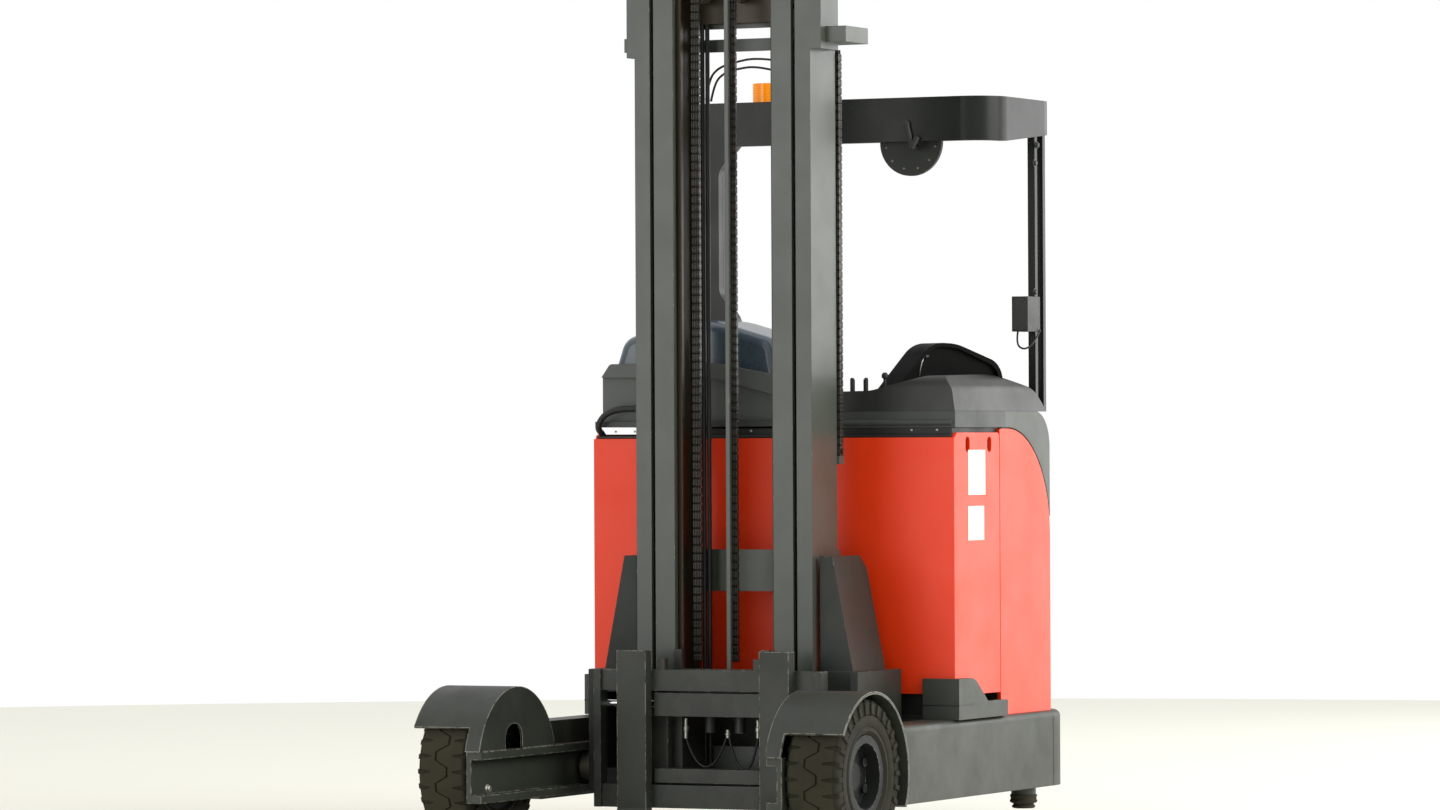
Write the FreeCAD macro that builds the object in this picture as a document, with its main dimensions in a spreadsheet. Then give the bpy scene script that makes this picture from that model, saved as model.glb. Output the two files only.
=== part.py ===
"""Reach truck: battery chassis, two support legs, reach carriage and three-stage mast.

Millimetres. +X runs forward to the fork tips, +Y to the truck's left, +Z up.
The origin is on the floor, midway between the rear bumper and the fork tips.
"""
import FreeCAD, Part
import math
import os
import Sketcher
from FreeCAD import Rotation, Vector

# ---------------------------------------------------------------- driving sizes

SIZES = (
    # overall
    ("fork_ahead", 115, "mast's face to the back of the fork shanks"),
    ("rear_overhang", 290, "steering axis to the rear bumper"),
    ("mast_height", 2700, "floor to the top of the lowered mast"),
    ("reach_tail", 130, "reach barrel beyond its stroke"),
    ("reach_stroke", 550, "travel of the reach carriage"),
    ("stage_stroke", 1850, "lift of each telescoping mast stage"),
    # chassis
    ("chassis_width", 1270, "over the side boxes"),
    ("chassis_low", 124, "floor to the chassis"),
    ("chassis_top", 360, "floor to the top of the side boxes"),
    ("chassis_round", 200, "plan radius of the rear corners"),
    ("chassis_edge", 20, "rounding along the upper outer edge"),
    ("box_back", 249, "load wheel axle back to the side boxes"),
    ("cross_share", 0.55245, "share of the wheelbase back to the front cross wall"),
    ("cross_wall", 20, "thickness of the front cross wall"),
    ("bumper_wall", 60, "thickness of the rear bumper"),
    # support legs
    ("box_width", 115, "width of a side box, from the leg's web outward"),
    ("leg_flange_width", 49.5, "leg channel over its flanges"),
    ("leg_low", 136, "floor to the leg"),
    ("leg_depth", 154, "height of the leg channel"),
    ("leg_web", 16, "leg web thickness"),
    ("leg_flange", 24, "leg flange thickness"),
    ("leg_reach", 232, "leg end ahead of the axle"),
    # load wheels and fenders
    ("wheel_radius", 228.5, "load tyre radius"),
    ("tyre_width", 163, "load tyre width"),
    ("tyre_gap", 7, "leg web to tyre"),
    ("tyre_edge", 16, "chamfer of the tyre's shoulders"),
    ("bead_radius", 104, "tyre seat on the rim"),
    ("lip_radius", 121, "rim lip radius"),
    ("lip_width", 10, "rim lip thickness"),
    ("lip_inset", 8, "rim lip inside the tyre's side face"),
    ("rim_wall", 7, "rim shell thickness"),
    ("disc_depth", 46, "rim lip to the wheel disc"),
    ("disc_wall", 14, "wheel disc thickness"),
    ("hub_radius", 62, "wheel hub radius"),
    ("hub_depth", 85, "length of the hub behind the wheel disc"),
    ("cap_radius", 41, "hub cap radius"),
    ("cap_height", 9, "hub cap height"),
    ("cap_recess", 4, "bore's closed end behind the disc face"),
    ("nut_circle", 78, "radius of the wheel nut circle"),
    ("nut_radius", 13, "wheel nut radius over its corners"),
    ("nut_height", 13, "wheel nut height"),
    ("spindle_radius", 30, "axle spindle radius"),
    ("spindle_flange", 52, "axle flange radius"),
    ("flange_thickness", 9, "axle flange thickness"),
    ("running_gap", 0.05, "radial clearance of a shaft in its bore"),
    ("fender_radius", 249, "outside radius of the fender arch"),
    ("fender_plate", 8, "fender plate thickness"),
    ("fender_width", 189, "leg's outer face to the fender's outer edge"),
    ("fender_front", 32, "angle of the arch's front edge above level"),
    ("fender_rear", 24, "angle of the arch's rear edge below level"),
    ("arch_width", 108, "opening in the fender's inner plate"),
    ("arch_height", 76, "height of that opening"),
    ("arch_forward", 22, "opening centre ahead of the axle"),
    # drive unit
    ("wheelbase", 1430, "load wheel axle to the steering axis"),
    ("drive_offset", 120, "steering axis to the right of the centre plane"),
    ("drive_radius", 171.5, "drive tyre radius"),
    ("drive_width", 140, "drive tyre width"),
    ("drive_tread", 42, "drive tyre rubber thickness"),
    ("drive_shaft", 22, "drive shaft radius"),
    ("cheek_gap", 6, "drive tyre to gearbox cheek"),
    ("cheek_wall", 20, "gearbox cheek thickness"),
    ("crown_drop", 12, "steering crown below the floor plate"),
    ("crown_rise", 8, "steering crown above the floor plate"),
    ("gearbox_radius", 128, "steering column radius through the floor"),
    ("collar_rim", 24, "steering collar beyond the column"),
    ("motor_radius", 118, "drive motor radius"),
    ("motor_height", 290, "drive motor height"),
    ("foot_inset", 320, "rear bumper to the stabiliser feet"),
    ("foot_radius", 39, "stabiliser foot radius"),
    ("foot_drop", 66, "height of a stabiliser foot"),
    # superstructure
    ("body_inset", 18.5, "side box's face to the side panels"),
    ("panel_share", 0.55245, "share of the wheelbase back to the front panel"),
    ("panel_wall", 12, "panel thickness"),
    ("panel_low", 437, "floor to the front panel"),
    ("panel_top", 1220, "floor to the top of the front panel"),
    ("seam_share", 0.7958, "share of the wheelbase back to the battery's rear end"),
    ("column_share", 1.06993, "share of the wheelbase back to the console column's end"),
    ("column_width", 244.5, "width of the console column"),
    ("cover_low", 1250, "floor to the battery cover"),
    ("cover_thick", 50, "battery cover thickness under the console"),
    ("shelf_low", 1256, "floor to the thinner cover under the seat hood"),
    ("shelf_thick", 18, "thickness of that thinner cover"),
    ("shelf_open", 470, "centre plane to the open space under that cover"),
    ("hinge_tube", 9, "radius of the cover's hinge tube"),
    ("floor_plate", 12, "cab floor plate thickness"),
    ("panel_curve", 330, "rounding of the red side panel"),
    ("hood_curve", 110, "rounding of the grey hood"),
    ("seam_gap", 4, "joint between outer panels"),
    ("battery_gap", 34.5, "side panels to the battery"),
    ("battery_top", 1190, "floor to the top of the battery"),
    ("bumper_height", 125, "height of the corner bumpers"),
    ("bumper_ledge", 50, "height of a corner bumper's step"),
    ("bumper_thick", 24, "thickness of the corner bumpers"),
    ("bumper_return", 98, "corner bumper across the front panel"),
    ("entrance_edge", 40, "centre plane to the entrance's inner edge"),
    # console and seat
    ("console_width", 391.5, "width of the console"),
    ("console_lift", 62, "battery cover to the console's top near the levers"),
    ("console_rise", 52, "that top to the console's ridge"),
    ("visor_turn", 28, "angle of the steering hood across the truck"),
    ("visor_length", 505, "steering hood length"),
    ("visor_height", 214, "steering hood height above the battery cover"),
    ("visor_depth", 96, "steering hood depth"),
    ("visor_rim", 13, "width of the steering hood's rim"),
    ("visor_recess", 12, "depth of the hood's face behind that rim"),
    ("lever_radius", 7.5, "radius of the control levers"),
    ("lever_height", 62, "height of the control levers"),
    ("lever_pitch", 45, "spacing of the control levers"),
    ("seat_hood_inset", 17, "side panel to the seat hood"),
    ("seat_hood_height", 136, "height of the seat hood above its cover"),
    ("seat_lip", 44, "height of the seat hood's lip"),
    ("seat_drop", 62, "fall of the seat hood towards the entrance"),
    ("shell_height", 140, "height of the seat shell above the lip"),
    ("seat_side", 60, "centre plane to the driver's seat"),
    ("backrest_thick", 100, "thickness of the driver's backrest"),
    ("seat_edge", 25, "centre plane to the seat hood's left end"),
    ("seat_inset", 30, "bulkhead to the seat"),
    ("seat_level", 1010, "floor to the seat base"),
    ("cushion_height", 110, "seat cushion thickness"),
    ("backrest_height", 430, "backrest above the cushion"),
    # overhead guard
    ("guard_share", 0.78671, "share of the wheelbase back to the guard"),
    ("guard_length", 513, "length of the guard"),
    ("guard_inset", 12, "side panels to the guard"),
    ("guard_top", 2279, "floor to the top of the guard"),
    ("guard_depth", 138, "depth of the front beam"),
    ("guard_side_depth", 104, "depth of the side beams"),
    ("guard_wall", 30, "width of the guard's beams"),
    ("guard_round", 110, "plan radius of the guard's corners"),
    ("guard_post", 50, "thickness of the right rear post"),
    ("guard_bar", 14, "roof bar thickness"),
    ("guard_bar_depth", 30, "roof bar depth"),
    ("guard_bar_drop", 12, "roof bars below the guard's top"),
    ("window_low", 377, "battery cover to the window in the front post"),
    ("front_post_share", 1.02028, "share of the wheelbase back to the left front post"),
    ("rear_post_share", 1.05804, "share of the wheelbase back to the left rear post"),
    ("post_width", 24, "width of the left posts"),
    ("post_depth", 20, "depth of the left posts"),
    ("mirror_side", 308, "centre plane to the mirror disc"),
    ("beacon_side", 207, "centre plane to the beacon"),
    ("beacon_radius", 50, "beacon lens radius"),
    ("beacon_height", 62, "beacon lens height"),
    ("disc_radius", 105, "mirror disc radius"),
    ("terminal_low", 1550, "floor to the terminal"),
    ("terminal_height", 110, "terminal height"),
    ("terminal_width", 54, "terminal width"),
    ("terminal_depth", 97, "terminal depth"),
    # reach cylinder
    ("reach_barrel", 34, "reach cylinder barrel radius"),
    ("reach_rod", 19, "reach cylinder rod radius"),
    ("reach_side", 250, "centre plane to the reach cylinder"),
    ("reach_high", 262, "floor to the reach cylinder"),
    # reach carriage
    ("carriage_gap", 15.5, "leg flanges to the reach carriage's side plates"),
    ("carriage_plate", 25, "side plate thickness"),
    ("roller_play", 0.3, "roller to the flange that it runs on"),
    ("roller_width", 42, "reach roller width"),
    ("gusset_top", 862, "floor to the top of the mast gussets"),
    ("gusset_wide", 112, "gusset width at its foot"),
    ("gusset_narrow", 42, "gusset width at its top"),
    ("carriage_share", 0.52448, "share of the wheelbase back to the reach carriage's rear"),
    ("carriage_length", 315, "length of the reach carriage"),
    ("carriage_low", 150, "floor to the reach carriage"),
    ("carriage_top", 515, "floor to the top of the reach carriage"),
    ("rear_roller_share", 0.48951, "share of the wheelbase back to the rear reach rollers"),
    ("front_roller_share", 0.35315, "share of the wheelbase back to the front reach rollers"),
    ("gusset_gap", 13, "outer rail to gusset"),
    ("gusset_plate", 16, "gusset plate thickness"),
    ("gusset_depth", 215, "depth of the gussets' side covers"),
    ("gusset_cover", 8, "thickness of those covers"),
    ("tie_gap", 6, "middle rail to the cross bar behind it"),
    # mast
    ("mast_share", 0.31818, "share of the wheelbase back to the mast's face"),
    ("mast_half", 297, "centre plane to the outer rail's web"),
    ("mast_low", 120, "floor to the mast rails"),
    ("rail_depth", 178, "rail depth over its flanges"),
    ("rail_flange", 20, "rail flange thickness"),
    ("rail_web", 12, "rail web thickness"),
    ("outer_flange", 51, "width of the outer rail's flanges"),
    ("middle_flange", 66, "width of the middle rail's flanges"),
    ("inner_flange", 28, "width of the inner rail's flanges"),
    ("inner_wall", 15, "flange thickness of the inner rail"),
    ("rail_gap", 13, "gap between outer and middle flanges"),
    ("inner_gap", 14, "gap between the middle and inner rails' webs"),
    ("stage_gap", 6, "running clearance between mast stages"),
    ("tie_height", 128, "height of the outer mast's cross bar"),
    ("tie_low", 751, "floor to that cross bar"),
    ("tie_plate", 16, "thickness of the mast's cross bars"),
    ("shoulder_low", 2395, "floor to the shoulder plates on the outer rails"),
    ("shoulder_depth", 124, "depth of the shoulder plates"),
    ("left_shoulder", 36, "thickness of the left shoulder plate"),
    ("right_shoulder", 27, "thickness of the right shoulder plate"),
    ("mast_axle", 20, "mast roller axle radius"),
    ("lift_side", 235, "centre plane to a lift cylinder"),
    ("lift_top", 2480, "floor to the top of the lift cylinders"),
    ("lift_radius", 24, "lift cylinder radius"),
    ("lift_rod", 15, "lift rod radius"),
    ("chain_width", 25, "lift chain width"),
    ("chain_depth", 24, "lift chain depth"),
    ("chain_side", 103, "centre plane to the right lift chain"),
    ("chain_centre", 21, "centre plane to the left lift chain"),
    ("chain_forward", 8, "lift chains ahead of the inner rail's face"),
    ("chain_end", 536, "floor to the lower end of the lift chains"),
    ("pulley_radius", 42, "chain pulley radius"),
    ("hose_radius", 7, "mast hose radius"),
    ("hose_side", 137, "centre plane to the outer mast hose"),
    ("hose_pitch", 17, "spacing of the mast hoses"),
    ("rear_chain_low", 1165, "floor to the rear chains' lower end"),
    ("rear_chain_thick", 24, "thickness of the rear chains"),
    ("rear_chain_width", 24, "width of the rear chains"),
    ("rear_chain_out", 8, "rear chains beyond the outer rail"),
    ("rear_chain_gap", 10, "outer rail to the rear chains"),
    ("guide_low", 330, "inner rails' foot to the guide bar"),
    ("guide_width", 13, "width of the centre guide bar"),
    ("guide_side", 8, "centre plane to the guide bar"),
    ("guide_gap", 6, "lift chains to the guide bar"),
    # fork carriage
    ("side_arm", 12, "thickness of the fork carriage's side arms"),
    ("face_gap", 6, "mast face to the fork carriage's bars"),
    ("face_plate", 16, "depth of the fork carriage's front bars"),
    ("tilt_gap", 22, "fork carriage to tilting frame"),
    ("tilt_plate", 22, "depth of the tilting frame"),
    ("hinge_high", 500, "floor to the tilt hinge"),
    ("hinge_pin", 12, "tilt hinge pin radius"),
    ("guide_rod", 12, "side shift rod radius"),
    ("shift_travel", 75, "side shift each way"),
    ("ram_side", 50, "centre plane to a tilt ram"),
    ("ram_radius", 17, "tilt ram radius"),
    ("ram_low", 325, "floor to the tilt rams"),
    ("face_half", 190, "half width of the fork carriage's front bars"),
    ("slide_half", 185, "half width of the slide block"),
    ("stop_side", 160, "centre plane to a fork stop"),
    ("fork_carriage_top", 519, "floor to the top of the side shift frame"),
    ("fork_carriage_low", 100, "floor to the underside of that frame"),
    ("fork_carriage_half", 384, "half width of the side shift frame"),
    ("end_plate", 24, "end plate thickness"),
    ("frame_bar", 34, "depth of the side shift frame's bars"),
    ("bar_joint", 6, "gap between sliding bars"),
    ("top_bar", 64, "height of the side shift frame's top bar"),
    ("slide_block", 71, "height of the side shift cylinder block"),
    ("low_bar", 70, "height of the side shift frame's lower bar"),
    ("rest_bar", 43, "height of the tilting frame's lower bar"),
    ("fork_offset", 240, "centre plane to a fork's centreline"),
    ("fork_width", 98, "fork width"),
    ("fork_thick", 40, "fork thickness"),
    ("fork_length", 1150, "fork length from the shank's face"),
    ("fork_low", 50, "floor to the underside of the blade"),
    ("fork_top", 578, "floor to the top of the shank"),
    ("fork_tip", 12, "blade thickness at its tip"),
    ("fork_taper", 520, "length over which the blade thins"),
)

doc = FreeCAD.newDocument("ReachTruck")
sheet = doc.addObject("Spreadsheet::Sheet", "Sizes")
for row, (alias, value, meaning) in enumerate(SIZES, start=1):
    sheet.set(f"A{row}", alias)
    sheet.set(f"B{row}", str(value))
    sheet.set(f"C{row}", meaning)
    sheet.setAlias(f"B{row}", alias)
doc.recompute()


class Size:
    """A length that knows both its value and its formula in the sheet."""

    def __init__(self, value, text):
        self.value = float(value)
        self.text = text

    def __add__(self, other):
        other = as_size(other)
        return Size(self.value + other.value, f"({self.text} + {other.text})")

    def __sub__(self, other):
        other = as_size(other)
        return Size(self.value - other.value, f"({self.text} - {other.text})")

    def __mul__(self, other):
        other = as_size(other)
        return Size(self.value * other.value, f"({self.text} * {other.text})")

    def __truediv__(self, other):
        other = as_size(other)
        return Size(self.value / other.value, f"({self.text} / {other.text})")

    def __neg__(self):
        return Size(-self.value, f"(0 - {self.text})")

    def __radd__(self, other):
        return as_size(other) + self

    def __rsub__(self, other):
        return as_size(other) - self

    def __rmul__(self, other):
        return as_size(other) * self


def as_size(number):
    """A plain number as a Size, and a Size as it is."""
    if isinstance(number, Size):
        return number
    return Size(number, f"({float(number)!r})")


def cosine(angle):
    angle = as_size(angle)
    return Size(math.cos(math.radians(angle.value)), f"cos({angle.text})")


def sine(angle):
    angle = as_size(angle)
    return Size(math.sin(math.radians(angle.value)), f"sin({angle.text})")


class SheetSizes:
    """The sheet's sizes by name, as in S.mast_height."""

    def __getattr__(self, alias):
        return Size(sheet.get(alias), f"Sizes.{alias}")


S = SheetSizes()

# ---------------------------------------------------------------- making shapes


def block(name, x, y, z):
    """A box between a low and a high limit along each axis."""
    box = doc.addObject("Part::Box", name)
    for side, axis, (low, high) in (("Length", "x", x), ("Width", "y", y), ("Height", "z", z)):
        box.setExpression(side, (as_size(high) - low).text)
        box.setExpression(f"Placement.Base.{axis}", as_size(low).text)
    return box


AXIS_TURN = {
    "X": Rotation(Vector(0, 1, 0), 90),
    "Y": Rotation(Vector(1, 0, 0), -90),
    "Z": Rotation(),
}


def bar(name, axis, radius, span, centre):
    """A round bar along an axis, over span, with its centre's two other coordinates."""
    cylinder = doc.addObject("Part::Cylinder", name)
    cylinder.Placement = FreeCAD.Placement(Vector(), AXIS_TURN[axis])
    low, high = span
    cylinder.setExpression("Radius", as_size(radius).text)
    cylinder.setExpression("Height", (as_size(high) - low).text)
    places = dict(zip([letter for letter in "XYZ" if letter != axis], centre))
    places[axis] = low
    for letter, place in places.items():
        cylinder.setExpression(f"Placement.Base.{letter.lower()}", as_size(place).text)
    return cylinder


def fuse(name, *pieces):
    joined = doc.addObject("Part::MultiFuse", name)
    joined.Shapes = list(pieces)
    return joined


def cut(name, base, *tools):
    """The base with every tool taken away."""
    for number, tool in enumerate(tools):
        step = doc.addObject("Part::Cut", name if number == len(tools) - 1 else f"{name}_cut{number}")
        step.Base = base
        step.Tool = tool
        base = step
    return base


def common(name, first, second):
    shared = doc.addObject("Part::Common", name)
    shared.Base = first
    shared.Tool = second
    return shared


def group(name, *pieces):
    """Separate solids kept together in one node."""
    together = doc.addObject("Part::Compound", name)
    together.Links = list(pieces)
    return together


def mirrored(piece):
    """The same piece on the truck's other side."""
    twin = doc.addObject("Part::Mirroring", piece.Name + "_twin")
    twin.Source = piece
    twin.Normal = Vector(0, 1, 0)
    return twin


def pair(name, piece):
    """A piece and its mirror image across the centre plane, as two solids."""
    return group(name, piece, mirrored(piece))


def corner_round(before, corner, after, radius):
    """Where a rounded corner's arc starts, its centre and where it ends."""
    back = (before - corner).normalize()
    ahead = (after - corner).normalize()
    half = back.getAngle(ahead) / 2
    run = radius / math.tan(half)
    centre = corner + (back + ahead).normalize() * (radius / math.sin(half))
    return corner + back * run, centre, corner + ahead * run


def angle_to(centre, point):
    return math.atan2(point.y - centre.y, point.x - centre.x)


def draw_outline(sketch, corners):
    """A closed outline through corners (a, b) or, where rounded, (a, b, radius)."""
    spots = [(as_size(corner[0]), as_size(corner[1])) for corner in corners]
    radii = [as_size(corner[2]) if len(corner) > 2 else None for corner in corners]
    points = [Vector(a.value, b.value, 0) for a, b in spots]
    count = len(points)
    arcs = []
    for i, radius in enumerate(radii):
        if radius is None:
            arcs.append((points[i], None, points[i]))
        else:
            arcs.append(corner_round(points[i - 1], points[i], points[(i + 1) % count], radius.value))
    lines = []
    for i in range(count):
        line = Part.LineSegment(arcs[i][2], arcs[(i + 1) % count][0])
        lines.append(sketch.addGeometry(line, False))

    def fix(geometry, a, b):
        for kind, place in (("DistanceX", a), ("DistanceY", b)):
            index = sketch.addConstraint(Sketcher.Constraint(kind, geometry, 1, place.value))
            sketch.setExpression(f"Constraints[{index}]", place.text)

    for i, (enter, centre, leave) in enumerate(arcs):
        before, after = lines[i - 1], lines[i]
        if radii[i] is None:
            sketch.addConstraint(Sketcher.Constraint("Coincident", before, 2, after, 1))
            fix(after, *spots[i])
            continue
        leftward = (enter - centre).cross(leave - centre).z > 0
        start, end = (enter, leave) if leftward else (leave, enter)
        circle = Part.Circle(centre, Vector(0, 0, 1), radii[i].value)
        curve = Part.ArcOfCircle(circle, angle_to(centre, start), angle_to(centre, end))
        arc = sketch.addGeometry(curve, False)
        first, last = (1, 2) if leftward else (2, 1)
        sketch.addConstraint(Sketcher.Constraint("Tangent", before, 2, arc, first))
        sketch.addConstraint(Sketcher.Constraint("Tangent", arc, last, after, 1))
        index = sketch.addConstraint(Sketcher.Constraint("Radius", arc, radii[i].value))
        sketch.setExpression(f"Constraints[{index}]", radii[i].text)
        mark = sketch.addGeometry(Part.Point(points[i]), True)
        sketch.addConstraint(Sketcher.Constraint("PointOnObject", mark, 1, before))
        sketch.addConstraint(Sketcher.Constraint("PointOnObject", mark, 1, after))
        fix(mark, *spots[i])


def sketch_on(body, plane, corners, offset):
    """A sketch of an outline on one of the body's own origin planes."""
    sketch = body.newObject("Sketcher::SketchObject", body.Name + "_outline")
    support = [item for item in body.Origin.OriginFeatures if item.Role == f"{plane}_Plane"][0]
    sketch.AttachmentSupport = [(support, "")]
    sketch.MapMode = "FlatFace"
    sketch.setExpression("AttachmentOffset.Base.z", as_size(offset).text)
    draw_outline(sketch, corners)
    return sketch


def plate(name, plane, corners, span):
    """An outline on a plane (XY, XZ or YZ), padded over span along the third axis."""
    low, high = (as_size(limit) for limit in span)
    body = doc.addObject("PartDesign::Body", name)
    start = -high if plane == "XZ" else low
    sketch = sketch_on(body, plane, corners, start)
    pad = body.newObject("PartDesign::Pad", f"{name}_pad")
    pad.Profile = sketch
    pad.setExpression("Length", (high - low).text)
    body.Tip = pad
    return body


def turned(name, corners, centre):
    """A piece of revolution about an axis along Y; corners are (y, radius from the axis)."""
    body = doc.addObject("PartDesign::Body", name)
    sketch = sketch_on(body, "YZ", corners, 0)
    spin = body.newObject("PartDesign::Revolution", f"{name}_turn")
    spin.Profile = sketch
    spin.ReferenceAxis = (sketch, ["H_Axis"])
    spin.Angle = 360
    body.Tip = spin
    x, z = centre
    body.setExpression("Placement.Base.x", as_size(x).text)
    body.setExpression("Placement.Base.z", as_size(z).text)
    return body


def rounded(body, radius, test):
    """Rounds every edge of a body's last feature whose middle passes the test."""
    doc.recompute()
    tip = body.Tip
    names = []
    for number, edge in enumerate(tip.Shape.Edges, start=1):
        middle = edge.valueAt((edge.FirstParameter + edge.LastParameter) / 2)
        if test(middle):
            names.append(f"Edge{number}")
    fillet = body.newObject("PartDesign::Fillet", f"{body.Name}_round")
    fillet.Base = (tip, names)
    fillet.setExpression("Radius", as_size(radius).text)
    body.Tip = fillet
    return body


NODES = []


def node(piece, name):
    """Names a finished sub-part, which is written to its own file."""
    piece.Label = name
    NODES.append((name, piece))
    return piece


# ---------------------------------------------------------------- shared places

TAIL_BACK = S.wheelbase + S.rear_overhang
SHANK_BACK = S.mast_share * S.wheelbase - S.fork_ahead - S.fork_thick
AXLE = (TAIL_BACK + SHANK_BACK - S.fork_length) / 2


def behind(distance):
    """A place measured back from the load wheel axle."""
    return AXLE - distance


def bay(share):
    """A place along the body, a share of the wheelbase behind the load wheel axle."""
    return AXLE - as_size(share) * S.wheelbase


TAIL = behind(TAIL_BACK)
HALF = S.chassis_width / 2
LEG_FACE = HALF - S.box_width
BODY_HALF = HALF - S.body_inset
FLOOR = S.chassis_top + S.floor_plate
LEG_TOP = S.leg_low + S.leg_depth
LEG_INNER = LEG_FACE - S.leg_flange_width
FENDER_FACE = LEG_FACE + S.fender_width
TYRE_IN = LEG_FACE + S.tyre_gap
TYRE_OUT = TYRE_IN + S.tyre_width
COVER_TOP = S.cover_low + S.cover_thick
DRIVE_X = behind(S.wheelbase)
SEAM = bay(S.seam_share)
COLUMN_END = bay(S.column_share)
SKIN_IN = BODY_HALF - S.panel_wall
SHELF_TOP = S.shelf_low + S.shelf_thick
GUARD_HALF = BODY_HALF - S.guard_inset
CONSOLE_IN = BODY_HALF - S.console_width
CARRIAGE_HALF = LEG_INNER - S.carriage_gap
COVER_END = SEAM - 45
MAST_FACE = bay(S.mast_share)
MAST_REAR = MAST_FACE - S.rail_depth
MAST_MIDDLE = MAST_FACE - S.rail_depth / 2
MIDDLE_OUT = S.mast_half - S.outer_flange - S.rail_gap
MIDDLE_IN = MIDDLE_OUT - S.middle_flange
MIDDLE_WEB = MIDDLE_IN + (S.middle_flange - S.rail_web) / 2
INNER_OUT = MIDDLE_WEB - S.inner_gap
INNER_IN = INNER_OUT - S.inner_flange
INNER_FACE = MAST_FACE - S.rail_flange - S.stage_gap
INNER_REAR = MAST_REAR + S.rail_flange + S.stage_gap
CARRIAGE_REAR = bay(S.carriage_share)
CARRIAGE_FRONT = CARRIAGE_REAR + S.carriage_length
TIE_FACE = MAST_REAR - S.tie_gap
TIE_REAR = TIE_FACE - S.tie_plate
FORK_BACK = behind(SHANK_BACK) - S.fork_thick
FACE_BACK = MAST_FACE + S.face_gap
FACE_FRONT = FACE_BACK + S.face_plate
TILT_BACK = FACE_FRONT + S.tilt_gap
TILT_FRONT = TILT_BACK + S.tilt_plate
HINGE_X = TILT_BACK + S.tilt_plate / 2
REACH_ROLLER = S.leg_depth / 2 - S.leg_flange - S.roller_play
MAST_ROLLER = S.rail_depth / 2 - S.rail_flange - S.roller_play
INNER_ROLLER = S.rail_depth / 2 - S.rail_flange - S.stage_gap - S.inner_wall - S.roller_play
PULLEY_X = INNER_FACE + S.chain_forward - S.chain_depth - S.pulley_radius
LIFT_X = TIE_REAR - S.lift_radius - 2
REAR_CHAIN_OUT = S.mast_half + S.rear_chain_out
REAR_CHAIN_Y = (REAR_CHAIN_OUT - S.rear_chain_width, REAR_CHAIN_OUT)
TOP = S.mast_height


ROOF_BARS = 5
LEVERS = 2
NUTS = 6
HOSES = 2

# ---------------------------------------------------------------- chassis


def chassis_frame():
    """Side boxes, front cross wall, rounded rear bumper and stabiliser feet in one weldment."""
    front = behind(S.box_back)
    cross = bay(S.cross_share)
    ring = plate("chassis_ring", "XY", [
        (front, HALF), (TAIL, HALF, S.chassis_round), (TAIL, -HALF, S.chassis_round), (front, -HALF),
        (front, -LEG_FACE), (cross, -LEG_FACE), (cross, LEG_FACE), (front, LEG_FACE),
    ], (S.chassis_low, S.chassis_top))
    top = S.chassis_top.value
    half = HALF.value
    rear_zone = (TAIL + S.chassis_round * 0.6).value

    def upper_outer(point):
        return abs(point.z - top) < 0.1 and (abs(abs(point.y) - half) < 1 or point.x < rear_zone)

    rounded(ring, S.chassis_edge, upper_outer)
    inner_rear = TAIL + S.bumper_wall
    well = plate("chassis_well", "XY", [
        (cross - S.cross_wall, LEG_FACE), (inner_rear, LEG_FACE, S.chassis_round / 2),
        (inner_rear, -LEG_FACE, S.chassis_round / 2), (cross - S.cross_wall, -LEG_FACE),
    ], (S.chassis_low - 10, S.chassis_top + 10))
    bore = bar("chassis_bore", "X", S.reach_barrel, (cross - S.cross_wall - 5, cross + 5),
               (S.reach_side, S.reach_high))
    place = (TAIL + S.foot_inset, (HALF + LEG_FACE) / 2)
    cup = bar("foot_cup", "Z", S.foot_radius, (S.chassis_low - S.foot_drop * 0.75, S.chassis_low), place)
    pad = bar("foot_pad", "Z", S.foot_radius * 0.8,
              (S.chassis_low - S.foot_drop, S.chassis_low - S.foot_drop * 0.75), place)
    foot = fuse("foot", cup, pad)
    weldment = cut("chassis_weldment", ring, well, bore)
    node(fuse("chassis_standing", weldment, foot, mirrored(foot)), "chassis_frame")


def legs():
    """Channels open towards each other for the reach rollers, each with its wheel spindle."""
    web_inner = LEG_FACE - S.leg_web
    leg = plate("leg", "YZ", [
        (LEG_FACE, S.leg_low), (LEG_FACE, LEG_TOP), (LEG_INNER, LEG_TOP),
        (LEG_INNER, LEG_TOP - S.leg_flange), (web_inner, LEG_TOP - S.leg_flange),
        (web_inner, S.leg_low + S.leg_flange), (LEG_INNER, S.leg_low + S.leg_flange),
        (LEG_INNER, S.leg_low),
    ], (bay(S.cross_share), AXLE + S.leg_reach))
    centre = (AXLE, S.wheel_radius)
    end = TYRE_OUT - S.lip_inset - S.disc_depth - S.cap_recess - 2
    spindle = bar("spindle", "Y", S.spindle_radius, (LEG_FACE - 2, end), centre)
    flange = bar("spindle_plate", "Y", S.spindle_flange,
                 (LEG_FACE, LEG_FACE + S.flange_thickness), centre)
    node(pair("legs_pair", fuse("leg_weldment", leg, spindle, flange)), "support_legs")


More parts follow.
